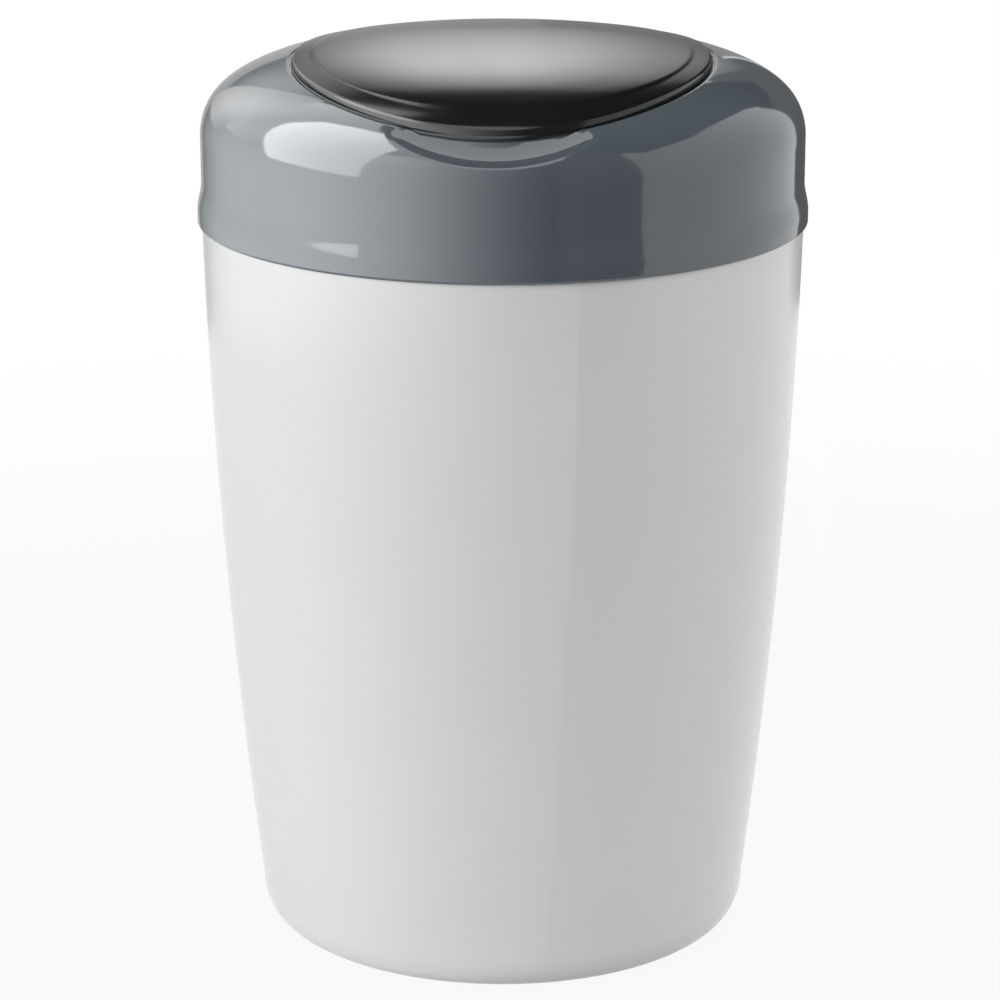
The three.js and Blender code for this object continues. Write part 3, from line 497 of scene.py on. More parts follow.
class Sheet:
    """A material's or world's node tree, written in Python."""

    def __init__(self, tree: bpy.types.NodeTree) -> None:
        """Clears the tree."""
        self.tree = tree
        tree.nodes.clear()

    @classmethod
    def of(cls, owner: bpy.types.Material | bpy.types.World) -> "Sheet":
        """The empty sheet of a new material or world."""
        owner.use_nodes = True
        return cls(owner.node_tree)

    def node(self, kind: str, inputs: Inputs | None = None, **settings: object) -> bpy.types.Node:
        """Adds a node.

        Args:
            kind: the last part of the node's type.
            inputs: values or wires for its sockets, by index or name.
            **settings: the node's own settings, set first.

        Returns:
            The node.
        """
        made = self.tree.nodes.new("ShaderNode" + kind)
        for name, value in settings.items():
            setattr(made, name, value)
        for key, value in (inputs or {}).items():
            if isinstance(value, Wire):
                self.tree.links.new(value.socket, made.inputs[key])
            else:
                made.inputs[key].default_value = value
        return made

    def out(self, node: bpy.types.Node, key: int | str) -> Wire:
        """A node's output as a wire."""
        return Wire(self, node.outputs[key])

    def wire(
        self, kind: str, inputs: Inputs | None = None, key: int | str = 0, **settings: object,
    ) -> Wire:
        """Adds a node and hands on one of its outputs."""
        return self.out(self.node(kind, inputs, **settings), key)

    def ramp(self, value: Wire, stops: Iterable[tuple[float, float]]) -> Wire:
        """Reads a smooth ramp of grey stops, given as (position, level), at a value.

        Args:
            value: where the ramp is read, from 0 to 1.
            stops: the stops.

        Returns:
            The ramp's level there.
        """
        node = self.node("ValToRGB", {0: value})
        ramp = node.color_ramp
        ramp.interpolation = "B_SPLINE"
        while len(ramp.elements) > 1:
            ramp.elements.remove(ramp.elements[-1])
        for index, (position, level) in enumerate(stops):
            stop = ramp.elements.new(position) if index else ramp.elements[0]
            stop.position = position
            stop.color = (level, level, level, 1)
        return self.out(node, 0)

    def place(self, stretch: Sequence[float] = (1, 1, 1)) -> Wire:
        """Object coordinates, stretched."""
        where = self.wire("TexCoord", key="Object")
        return self.wire("Mapping", {"Vector": where, "Scale": tuple(stretch)})

    def noise(self, size: float, detail: float = 3.0, stretch: Sequence[float] = (1, 1, 1)) -> Wire:
        """Soft noise whose lumps are about a size in millimetres across."""
        inputs = {"Vector": self.place(stretch), "Scale": 1 / (size * MM), "Detail": detail}
        return self.wire("TexNoise", inputs, "Fac")

    def band(self, value: Wire, low: float, high: float, start: float = 0.0, end: float = 1.0) -> Wire:
        """Maps a value from one range to another, clamped and eased."""
        inputs = {"Value": value, "From Min": low, "From Max": high, "To Min": start, "To Max": end}
        return self.wire("MapRange", inputs, interpolation_type="SMOOTHSTEP", clamp=True)

    def mixed(self, factor: Wire, first: Colour, second: Colour) -> Wire:
        """Blends two colours.

        Args:
            factor: 0 for the first colour, 1 for the second.
            first: the first colour.
            second: the second colour.

        Returns:
            The blended colour.
        """
        inputs: Inputs = {"Factor": factor}
        for socket, colour in zip(MIX_COLOUR_IN, (first, second)):
            inputs[socket] = (*colour, 1.0)
        return self.wire("Mix", inputs, MIX_COLOUR_OUT, data_type="RGBA")

    def bump(self, height: Wire, depth: float, under: Wire | None = None) -> Wire:
        """A normal raised by a height of a depth in millimetres, on top of another normal.

        Args:
            height: the pattern.
            depth: how far the pattern rises, in millimetres.
            under: the normal that it is laid over.

        Returns:
            The normal.
        """
        inputs: Inputs = {"Height": height, "Distance": depth * MM, "Strength": 1.0}
        if under is not None:
            inputs["Normal"] = under
        return self.wire("Bump", inputs)

    def end(self, surface: Wire, kind: str = "Material") -> None:
        """Ends the tree with a surface."""
        self.node("Output" + kind, {"Surface": surface})

    def finish(self, inputs: Inputs) -> None:
        """Ends a material with a Principled surface."""
        self.end(self.wire("BsdfPrincipled", inputs))


@dataclass(frozen=True)
class Finish:
    """What a piece is made of; each kind says how its surface is drawn."""

    name: str
    colour: Colour

    def material(self) -> bpy.types.Material:
        """The finish's material, made once.

        Returns:
            The material.
        """
        known = bpy.data.materials.get(self.name)
        if known is not None:
            return known
        made = bpy.data.materials.new(self.name)
        made.diffuse_color = (*self.colour, 1.0)
        self.draw(Sheet.of(made))
        return made

    def shade(self, amount: float) -> Colour:
        """The finish's colour made lighter or darker by a factor."""
        return tuple(min(channel * amount, 1.0) for channel in self.colour)

    def draw(self, sheet: Sheet) -> None:
        """Draws the surface; each kind of finish has its own."""
        raise NotImplementedError


@dataclass(frozen=True)
class GlossPlastic(Finish):
    """Polished moulded plastic: a clear sheen, a faint orange peel and a few handling marks."""

    roughness: float = 0.12
    haze: float = 0.05
    reflectance: float = 0.5
    coat: float = 0.0
    peel_depth: float = 0.004
    sway_depth: float = 0.02

    def draw(self, sheet: Sheet) -> None:
        """Colour clouds, handling haze, peel and a slow moulding sway.

        Args:
            sheet: the material's empty sheet.
        """
        clouds = sheet.noise(60, 2)
        tone = sheet.mixed(clouds, self.shade(0.985), self.shade(1.015))
        handled = sheet.band(sheet.noise(38, 4), 0.52, 0.74)
        wiped = sheet.band(sheet.noise(5, 3, (1, 1, 0.12)), 0.5, 0.8)
        roughness = self.roughness + handled * (self.haze * 0.6) + wiped * (self.haze * 0.4)
        sway = sheet.bump(sheet.noise(45, 1), self.sway_depth)
        peel = sheet.bump(sheet.noise(1.1, 2), self.peel_depth, sway)
        sheet.finish({
            "Base Color": tone, "Roughness": roughness, "Normal": peel,
            "Specular IOR Level": self.reflectance, "Coat Weight": self.coat, "Coat Roughness": 0.03,
        })


@dataclass(frozen=True)
class MattPlastic(Finish):
    """Moulded plastic with an even, fine eroded grain."""

    roughness: float = 0.45
    grain: float = 0.55
    grain_depth: float = 0.02

    def draw(self, sheet: Sheet) -> None:
        """Grain, broad tone clouds and slightly polished high spots.

        Args:
            sheet: the material's empty sheet.
        """
        clouds = sheet.noise(35, 3)
        grain = sheet.noise(self.grain, 4)
        tone = sheet.mixed(clouds, self.shade(0.95), self.shade(1.03))
        roughness = self.roughness + grain * 0.12 - sheet.band(clouds, 0.55, 0.8) * 0.08
        sheet.finish({
            "Base Color": tone, "Roughness": roughness, "Normal": sheet.bump(grain, self.grain_depth),
        })


@dataclass(frozen=True)
class SatinBlack(Finish):
    """Black plastic with a soft sheen and a fine grain."""

    roughness: float = 0.3
    reflectance: float = 0.5

    def draw(self, sheet: Sheet) -> None:
        """Fine grain, wiped haze and slow clouds.

        Args:
            sheet: the material's empty sheet.
        """
        grain = sheet.noise(0.35, 3)
        haze = sheet.band(sheet.noise(26, 4), 0.5, 0.78)
        tone = sheet.mixed(sheet.noise(40, 2), self.shade(0.85), self.shade(1.2))
        sheet.finish({
            "Base Color": tone, "Roughness": self.roughness + haze * 0.04 + grain * 0.03,
            "Normal": sheet.bump(grain, 0.006), "Specular IOR Level": self.reflectance,
        })


@dataclass(frozen=True)
class SoftRubber(Finish):
    """Matt rubber with a bloom of dust in its pores."""

    def draw(self, sheet: Sheet) -> None:
        """Pores and bloom.

        Args:
            sheet: the material's empty sheet.
        """
        pores = sheet.noise(0.7, 5)
        bloom = sheet.band(sheet.noise(9, 4), 0.5, 0.8)
        tone = sheet.mixed(bloom * 0.6, self.colour, self.shade(2.4))
        sheet.finish({
            "Base Color": tone, "Roughness": 0.72 + bloom * 0.15, "Normal": sheet.bump(pores, 0.03),
        })


@dataclass(frozen=True)
class BareSteel(Finish):
    """Plated steel, brushed along one direction."""

    streak: tuple[float, float, float] = (1, 1, 0.04)

    def draw(self, sheet: Sheet) -> None:
        """Streaks and a little dulling.

        Args:
            sheet: the material's empty sheet.
        """
        streaks = sheet.noise(0.12, 4, self.streak)
        dull = sheet.band(sheet.noise(3, 3), 0.5, 0.75)
        tone = sheet.mixed(dull, self.colour, self.shade(0.8))
        sheet.finish({
            "Base Color": tone, "Metallic": 1.0, "Roughness": 0.24 + streaks * 0.14 + dull * 0.12,
            "Normal": sheet.bump(streaks, 0.004),
        })


@dataclass(frozen=True)
class ThinFilm(Finish):
    """Milky film folded into a tight pack."""

    def draw(self, sheet: Sheet) -> None:
        """Creases across the folds and patches where the film lies double.

        Args:
            sheet: the material's empty sheet.
        """
        creases = sheet.noise(2.2, 6, (1, 1, 0.3))
        double = sheet.band(sheet.noise(7, 3), 0.42, 0.62)
        tone = sheet.mixed(double, self.colour, self.shade(0.86))
        sheet.finish({
            "Base Color": tone, "Roughness": 0.26 + creases * 0.25, "Normal": sheet.bump(creases, 0.15),
        })


TUB_WHITE = GlossPlastic("tub white", (0.84, 0.84, 0.835), roughness=0.2, haze=0.05, reflectance=0.3)
LID_GREY = GlossPlastic("lid blue-grey", (0.094, 0.114, 0.13), roughness=0.1, haze=0.04, coat=0.6)
FLAP_BLACK = SatinBlack("flap black", (0.009, 0.009, 0.0095), roughness=0.15)
FRAME_WHITE = MattPlastic("frame white", (0.72, 0.73, 0.73), roughness=0.42)
FINGER_WHITE = MattPlastic("finger white", (0.76, 0.76, 0.75), roughness=0.36, grain=0.4)
LINER_GREY = MattPlastic("liner grey", (0.15, 0.17, 0.19), roughness=0.4)
RING_TEAL = MattPlastic("ring teal", (0.045, 0.25, 0.28), roughness=0.36, grain=0.45)
SEAL_BLACK = SoftRubber("seal rubber", (0.022, 0.022, 0.023))
STEEL = BareSteel("plated steel", (0.62, 0.63, 0.64))
FILM_MILK = ThinFilm("film", (0.74, 0.8, 0.84))


@dataclass
class Dome:
    """The lid's dome: a surface of revolution that swells beyond an ellipse."""

    wall_radius: float = 127.7
    foot: float = 348.2
    rise: float = 39.0
    swell: float = 0.081
    squareness: float = 2.2
    samples: int = 720
    turns: np.ndarray = field(init=False)
    radii: np.ndarray = field(init=False)
    heights: np.ndarray = field(init=False)

    def __post_init__(self) -> None:
        """Samples the section once, from the wall up to the crown."""
        self.turns = np.linspace(0, math.pi / 2, self.samples)
        points = [self.at(turn) for turn in self.turns]
        self.radii = np.array([point[0] for point in points])
        self.heights = np.array([point[1] for point in points])

    def at(self, turn: float) -> tuple[float, float]:
        """Radius and height at a turn from the wall (0) to the crown (a quarter turn)."""
        reach = 1 + self.swell * abs(math.sin(2 * turn)) ** self.squareness
        return self.wall_radius * reach * math.cos(turn), self.foot + self.rise * reach * math.sin(turn)

    def inside(self, turn: float, wall: float) -> tuple[float, float]:
        """The same place, moved inwards square to the surface by a wall thickness.

        Args:
            turn: the turn from the wall.
            wall: the wall's thickness.

        Returns:
            Radius and height.
        """
        step = 1e-3
        here = Vector(self.at(turn))
        ahead = Vector(self.at(turn + step)) - here
        normal = Vector((ahead.y, -ahead.x)).normalized()
        return tuple(here - normal * wall)

    def turn_at(self, radius: float) -> float:
        """The turn at which the dome has a radius."""
        return float(np.interp(radius, self.radii[::-1], self.turns[::-1]))

    def height(self, radius: float) -> float:
        """Height of the outer surface at a radius."""
        return float(np.interp(radius, self.radii[::-1], self.heights[::-1]))


@dataclass
class Oval:
    """The opening's plan: an ellipse set towards the front."""

    semi_x: float = 88.6
    semi_y: float = 107.6
    centre_y: float = -10.0

    def reach(self, angle: float, offset: float = 0.0) -> float:
        """Distance from the bin's axis to the ellipse, grown by an offset, in a direction.

        Args:
            angle: the direction, seen from the bin's axis.
            offset: how much the ellipse is grown.

        Returns:
            The distance.
        """
        wide = self.semi_x + offset
        deep = self.semi_y + offset
        across = (math.cos(angle) / wide) ** 2 + (math.sin(angle) / deep) ** 2
        along = -self.centre_y * math.sin(angle) / deep ** 2
        rest = (self.centre_y / deep) ** 2 - 1
        return (-along + math.sqrt(along ** 2 - across * rest)) / across

    def at(self, angle: float, share: float, offset: float = 0.0) -> tuple[float, float]:
        """x and y of the ellipse's own angle, at a share of its size.

        Args:
            angle: the ellipse's own angle.
            share: share of the ellipse's size.
            offset: how much the ellipse is grown before that.

        Returns:
            x and y.
        """
        wide = (self.semi_x + offset) * share
        deep = (self.semi_y + offset) * share
        return wide * math.cos(angle), self.centre_y + deep * math.sin(angle)


@dataclass
class Tub:
    """The white tub: a tapered, slightly swollen wall on a standing ring, stepped in to a neck."""

    base_radius: float = 97.6
    heel_radius: float = 106.6
    heel_height: float = 15.6
    shoulder_radius: float = 127.7
    shoulder_height: float = 312.5
    rim_height: float = 338.0
    bulge: float = 3.7
    wall: float = 2.4
    floor: float = 3.0
    stand_width: float = 6.0
    stand_depth: float = 3.5
    neck_step: float = 3.5
    neck_rise: float = 1.5
    shoulder_cut: float = 1.2
    inner_shoulder: float = 3.0
    groove_inner: float = 30.0
    groove_outer: float = 35.5
    groove_depth: float = 1.0
    groove_slope: float = 1.5
    groove_cut: float = 0.8
    wall_steps: int = 36
    heel_steps: int = 10

    def wall_radius(self, height: float) -> float:
        """Outer radius of the wall at a height.

        Args:
            height: height above the ground.

        Returns:
            The radius.
        """
        share = (height - self.heel_height) / (self.shoulder_height - self.heel_height)
        straight = lerp(self.heel_radius, self.shoulder_radius, share)
        return straight + self.bulge * 4 * share * (1 - share)

    def heel(self, inset: float, lowest: float) -> list[Corner]:
        """Points of the rounded heel, from its foot up to the wall.

        Args:
            inset: depth inside the outer surface.
            lowest: height of the heel's foot.

        Returns:
            The points.
        """
        points: list[Corner] = []
        for step in range(self.heel_steps + 1):
            turn = math.pi / 2 * step / self.heel_steps
            out = self.base_radius - inset + (self.heel_radius - self.base_radius) * math.sin(turn)
            points.append((out, self.heel_height - (self.heel_height - lowest) * math.cos(turn)))
        return points

    def build(self) -> None:
        """Builds the tub as one spun moulding."""
        heights = np.linspace(self.heel_height, self.shoulder_height, self.wall_steps + 1)[1:-1]
        outer = [(self.wall_radius(z), z) for z in heights]
        inner = [(radius - self.wall, z) for radius, z in reversed(outer)]
        neck_outer = self.shoulder_radius - self.neck_step
        neck_inner = neck_outer - self.wall
        stand_inner = self.base_radius - self.stand_width
        floor_top = self.stand_depth + self.floor
        neck_foot = self.shoulder_height + self.neck_rise
        bend = self.shoulder_height - self.inner_shoulder
        shoulder = eased_outline([
            outer[-1], (self.shoulder_radius, self.shoulder_height, self.shoulder_cut),
            (self.shoulder_radius - self.shoulder_cut, neck_foot, 0.6),
            (neck_outer, neck_foot, 0.5), (neck_outer, self.rim_height, 0.7),
            (neck_inner, self.rim_height, 0.7), (neck_inner, neck_foot, 2.0),
            (self.wall_radius(bend) - self.wall, bend, 2.0), inner[0],
        ])
        under = self.stand_depth
        groove = under - self.groove_depth
        foot = eased_outline([
            (0, floor_top), (0, under), (self.groove_inner, under, self.groove_cut),
            (self.groove_inner + self.groove_slope, groove, self.groove_cut),
            (self.groove_outer - self.groove_slope, groove, self.groove_cut),
            (self.groove_outer, under, self.groove_cut),
            (stand_inner - 1.8, under, 1.2), (stand_inner, 0, 0.8), (self.base_radius - 1, 0, 0),
        ])
        outline = foot[1:] + self.heel(0, 0)[1:] + outer + shoulder[5:-5] + inner
        outline += self.heel(self.wall, floor_top)[::-1] + [(0, floor_top)]
        Shape.spun(outline, 192).piece("tub_moulding", TUB_WHITE, Slot.TUB, Body.TUB, ["tub"])


@dataclass
class Scoop:
    """The finger scoop at the lid's front: a bent hollow that thins towards its two ends."""

    radius: float = 128.0
    height: float = 372.0
    radial_reach: float = 20.0
    vertical_reach: float = 14.5
    half_angle: float = math.radians(26)
    sweep: float = 9.0
    round_width: float = 1.3

    def floor(self, place: Vector) -> float | None:
        """Height of the scoop's floor under a place, or None outside the scoop.

        Args:
            place: the place; its height doesn't count.

        Returns:
            The floor's height, or None.
        """
        along = math.atan2(place.x, -place.y) / self.half_angle
        across = (math.hypot(place.x, place.y) - self.radius) / self.radial_reach
        thin = 1 - along * along
        room = thin - across * across
        if thin <= 0 or room <= 0:
            return None
        return self.height - self.vertical_reach * math.sqrt(thin * room)

    def sunk(self, ring: Ring, oval: "Oval", back: float, cover: float, angle: float) -> Vector:
        """A ring's place at an angle, sunk to the scoop's floor.

        Args:
            ring: the ring as it is without the scoop.
            oval: the opening's plan.
            back: the scoop's rear limit, as an offset from the opening's edge.
            cover: thickness of plastic left under the floor.
            angle: the vertex's angle.

        Returns:
            The vertex's place.
        """
        place = ring(angle)
        floor = self.floor(place)
        if floor is not None:
            near = self.sweep - (math.hypot(place.x, place.y) - oval.reach(angle, back))
            if 0 < near:
                near = min(near, self.sweep)
                floor += self.sweep - math.sqrt(self.sweep ** 2 - near ** 2)
            place.z = soft_min(place.z, floor - cover, self.round_width)
        return place


@dataclass
class Hinge:
    """The hinge at the flap's rear, in a pocket of the lid."""

    y: float = 104.0
    sink: float = 5.5
    pin_radius: float = 1.5
    pin_half: float = 29.4
    bore_radius: float = 1.8
    barrel_radius: float = 3.4
    barrel_half: float = 22.0
    pocket_half: float = 22.5
    pocket_front: float = 95.0
    pocket_back: float = 111.0
    pocket_wall: float = 2.0
    pocket_clear: float = 3.9

    def z(self, dome: Dome) -> float:
        """Height of the hinge's axis."""
        return dome.height(self.y) - self.sink


@dataclass
class LidCover:
    """The blue-grey cover: flared skirt, wall, dome, stepped lip, ledge, collar and scoop.

    The lip is given as (offset from the opening's edge, depth below the dome).
    """

    dome: Dome
    oval: Oval
    hinge: Hinge
    scoop: Scoop = field(default_factory=Scoop)
    edge: float = 311.5
    skirt_radius: float = 129.5
    flare_start: float = 4.5
    flare_height: float = 16.5
    flare_steps: int = 16
    wall: float = 2.3
    lap_radius: float = 128.2
    lap_top: float = 313.6
    lap_ease: float = 5.0
    lip_edge: float = 1.65
    collar_bottom: float = 341.3
    ledge_drop: float = 2.6
    ledge_wall: float = 2.2
    throat_offset: float = -5.2
    dome_steps: int = 46
    inner_steps: int = 18
    columns: int = 384
    crowding: float = 0.5
    pocket_cut: float = 1.2
    cup_depth: float = 9.0
    cup_inset: float = 1.0
    cup_drop: float = 0.6
    cup_steps: int = 40
    lip: tuple[tuple[float, float], ...] = (
        (1.52, 0.03), (1.44, 0.15), (1.4, 0.55), (1.3, 0.68), (0.9, 0.74), (0.35, 0.8), (0.12, 0.86),
        (0.0, 1.0), (-0.02, 1.5), (-0.02, 2.2), (-0.12, 2.5),
    )

    def angles(self) -> list[float]:
        """Angles of the columns, closer together towards the front."""
        even = [FULL_TURN * step / self.columns - math.pi for step in range(self.columns)]
        return [turn - self.crowding * math.sin(turn) - math.pi / 2 for turn in even]

    def on_circle(self, radius: float, height: float, angle: float) -> Vector:
        """A place on a level circle about the bin's axis."""
        return polar(radius, angle, height)

    def on_dome(self, share: float, offset: float, inset: float, angle: float) -> Vector:
        """A place at a share of the way from the wall to the opening's edge.

        Args:
            share: 0 at the wall, 1 at the edge.
            offset: the edge's distance outside the opening.
            inset: depth inside the outer surface.
            angle: the vertex's angle.

        Returns:
            The vertex's place.
        """
        turn = self.dome.turn_at(self.oval.reach(angle, offset)) * share
        radius, height = self.dome.inside(turn, inset) if inset else self.dome.at(turn)
        return polar(radius, angle, height)

    def on_lip(self, offset: float, drop: float, angle: float) -> Vector:
        """A place round the opening, at an offset from its edge and a depth below the dome."""
        radius = self.oval.reach(angle, offset)
        return polar(radius, angle, self.dome.height(radius) - drop)

    def on_level(self, offset: float, height: float, angle: float) -> Vector:
        """A place round the opening, at an offset from its edge and a height."""
        return polar(self.oval.reach(angle, offset), angle, height)

    def skirt_radius_at(self, rise: float) -> float:
        """Outer radius of the skirt at a height above its edge."""
        share = ease(rise, self.flare_start, self.flare_height)
        return lerp(self.skirt_radius, self.dome.wall_radius, share)

    def outer_rings(self) -> list[Ring]:
        """Skirt, wall, dome, lip, recess and ledge, from the outer edge inwards.

        Returns:
            The rings in order.
        """
        low = self.skirt_radius_at(0)
        places = [(low - 0.5, self.edge), (low - 0.15, self.edge + 0.13), (low, self.edge + 0.5)]
        for step in range(1, self.flare_steps + 1):
            rise = lerp(0.5, self.flare_height, step / self.flare_steps)
            places.append((self.skirt_radius_at(rise), self.edge + rise))
        wall_foot = self.edge + self.flare_height
        for share in (0.3, 0.65):
            places.append((self.dome.wall_radius, lerp(wall_foot, self.dome.foot, share)))
        shares = [step / self.dome_steps for step in range(self.dome_steps + 1)]
        back = self.throat_offset + self.ledge_wall
        ledge = [(offset, self.ledge_drop) for offset in (-0.4, -1.6, back + 0.1)]
        rings = rings_of(self.on_circle, places)
        rings += rings_of(self.on_dome, [(share, self.lip_edge, 0.0) for share in shares])
        rings += rings_of(self.on_lip, (*self.lip, *ledge))
        return [partial(self.scoop.sunk, ring, self.oval, back, 0.0) for ring in rings]

    def throat_rings(self) -> list[Ring]:
        """The ledge's inner edge, the throat and the collar's two sides.

        Returns:
            The rings in order.
        """
        inner = self.throat_offset
        outer = inner + self.ledge_wall
        low = self.collar_bottom
        edge = self.ledge_drop
        return rings_of(self.on_lip, (
            (outer - 0.1, edge), (inner + 0.4, edge), (inner + 0.1, edge + 0.1), (inner, edge + 0.4),
        )) + rings_of(self.on_level, (
            (inner, lerp(low, self.dome.foot, 1.6)), (inner, low + 0.4), (inner + 0.12, low + 0.1),
            (inner + 0.4, low), (outer - 0.4, low), (outer - 0.12, low + 0.1), (outer, low + 0.4),
        ))

    def inner_rings(self) -> list[Ring]:
        """The underside: the collar's outer side, the ledge's back and the wall inside the dome.

        Returns:
            The rings in order.
        """
        outer = self.throat_offset + self.ledge_wall
        back = self.ledge_drop + self.ledge_wall
        inside = self.dome.wall_radius - self.wall
        shares = [step / self.inner_steps for step in range(self.inner_steps, -1, -1)]
        rings = rings_of(self.on_lip, (
            (outer, back + 0.8), (outer + 0.6, back), (self.ledge_wall - 0.4, back),
            (self.ledge_wall, back - 0.6),
        ))
        rings += rings_of(self.on_dome, [(share, self.ledge_wall + 1, self.wall) for share in shares])
        rings += rings_of(self.on_circle, (
            (inside, self.lap_top + self.lap_ease), (self.lap_radius, self.lap_top),
            (self.lap_radius, self.edge + 0.3), (self.lap_radius + 0.3, self.edge),
        ))
        return [partial(self.scoop.sunk, ring, self.oval, outer, self.ledge_wall) for ring in rings]

    def build(self) -> None:
        """Builds the cover and cuts the hinge's pocket into it."""
        rings = self.outer_rings() + self.throat_rings() + self.inner_rings()
        cover = Shape.looped(rings, self.angles())
        hinge = self.hinge
        floor = hinge.z(self.dome) - hinge.pocket_clear
        crown = self.dome.foot + self.dome.rise
        side = hinge.pocket_half + hinge.pocket_wall
        rear = hinge.pocket_back + hinge.pocket_wall
        front = hinge.pocket_front - hinge.pocket_wall
        cup = Shape.block((-side, front, floor - hinge.pocket_wall), (side, rear, crown))
        low = self.dome.foot - self.cup_depth
        section = [(0.0, low), (self.dome.wall_radius - self.cup_inset, low)]
        for step in range(self.cup_steps + 1):
            radius, height = self.dome.at(math.pi / 2 * step / self.cup_steps)
            section.append((max(radius - self.cup_inset, 0), height - self.cup_drop))
        cup.blended(Shape.spun(section, 96), Blend.KEEP)
        cover.blended(cup, Blend.ADD)
        room = Shape.block(
            (-hinge.pocket_half, hinge.pocket_front, floor),
            (hinge.pocket_half, hinge.pocket_back, crown), self.pocket_cut,
        )
        cover.blended(room, Blend.CUT)
        cover.piece("lid_cover_moulding", LID_GREY, Slot.LID, Body.LID, ["lid_cover"], crease=32)


@dataclass
class LidFrame:
    """The frame under the cover: flange, register skirt, seal land and the cassette's well."""

    bottom: float = 338.3
    top: float = 341.0
    outer: float = 124.9
    skirt_outer: float = 121.3
    skirt_inner: float = 119.3
    skirt_bottom: float = 325.3
    well_inner: float = 72.0
    well_outer: float = 74.2
    floor_top: float = 277.4
    floor_bottom: float = 275.0
    floor_inner: float = 60.0
    seal_inner: float = 76.5
    seal_outer: float = 79.5
    seal_top: float = 352.0

    def build(self) -> None:
        """Spins the frame's section."""
        moulding = Shape.eased([
            (self.well_inner, self.floor_top, 1.2), (self.floor_inner, self.floor_top, 0.7),
            (self.floor_inner, self.floor_bottom, 0.7), (self.well_outer, self.floor_bottom, 1.4),
            (self.well_outer, self.bottom, 1.2), (self.skirt_inner, self.bottom, 1.0),
            (self.skirt_inner, self.skirt_bottom, 0.6), (self.skirt_outer, self.skirt_bottom, 0.9),
            (self.skirt_outer, self.bottom, 0.5), (self.outer, self.bottom, 0.4),
            (self.outer, self.top, 0.4), (self.seal_outer, self.top, 0.8),
            (self.seal_outer, self.seal_top, 0.9), (self.seal_inner, self.seal_top, 0.9),
            (self.seal_inner, self.top, 0.4), (self.well_inner, self.top, 1.0),
        ], 160)
        moulding.piece("lid_frame_moulding", FRAME_WHITE, Slot.FRAME, Body.LID, ["lid_frame"])


@dataclass
class Screw:
    """A pan-head screw with a six-sided drive, pointing up from its seat."""

    shank_radius: float = 1.3
    head_radius: float = 3.4
    head_height: float = 2.0
    drive_radius: float = 1.5
    drive_depth: float = 1.1
    drive_sides: int = 6
    point_length: float = 1.2

    def shape(self, bite: float) -> Shape:
        """The screw with its seat at height 0.

        Args:
            bite: length of the shank.

        Returns:
            The closed solid.
        """
        head = -self.head_height
        body = Shape.spun(eased_outline([
            (0, head), (self.head_radius * 0.72, head, 1.0), (self.head_radius, head * 0.45, 0.7),
            (self.head_radius, 0, 0.25), (self.shank_radius, 0, 0),
            (self.shank_radius, bite - self.point_length, 0.3), (0, bite),
        ], steps=3)[::-1], 32)
        deepest = head + self.drive_depth
        drive = Shape.spun([
            (0, deepest + 0.3), (self.drive_radius, deepest), (self.drive_radius, head - 1), (0, head - 1),
        ], self.drive_sides)
        return body.blended(drive, Blend.CUT)

    def build(
        self, stem: str, body: Body, angles: Sequence[float], circle: float, seat: float, bite: float,
    ) -> None:
        """Builds a circle of screws, each for its own CAD node.

        Args:
            stem: the CAD nodes' name, without the number.
            body: the body that the screws ride on.
            angles: where each screw sits, in degrees.
            circle: radius of the circle of screws.
            seat: height of the heads' seat.
            bite: length of the shank.
        """
        master = self.shape(bite)
        for index, degrees in enumerate(angles, 1):
            angle = math.radians(degrees)
            screw = master.copy().turned(angle * 2).moved(polar(circle, angle, seat))
            screw.piece(f"{stem}_{index}_steel", STEEL, Slot.STEEL, body, [f"{stem}_{index}"])
        master.bm.free()


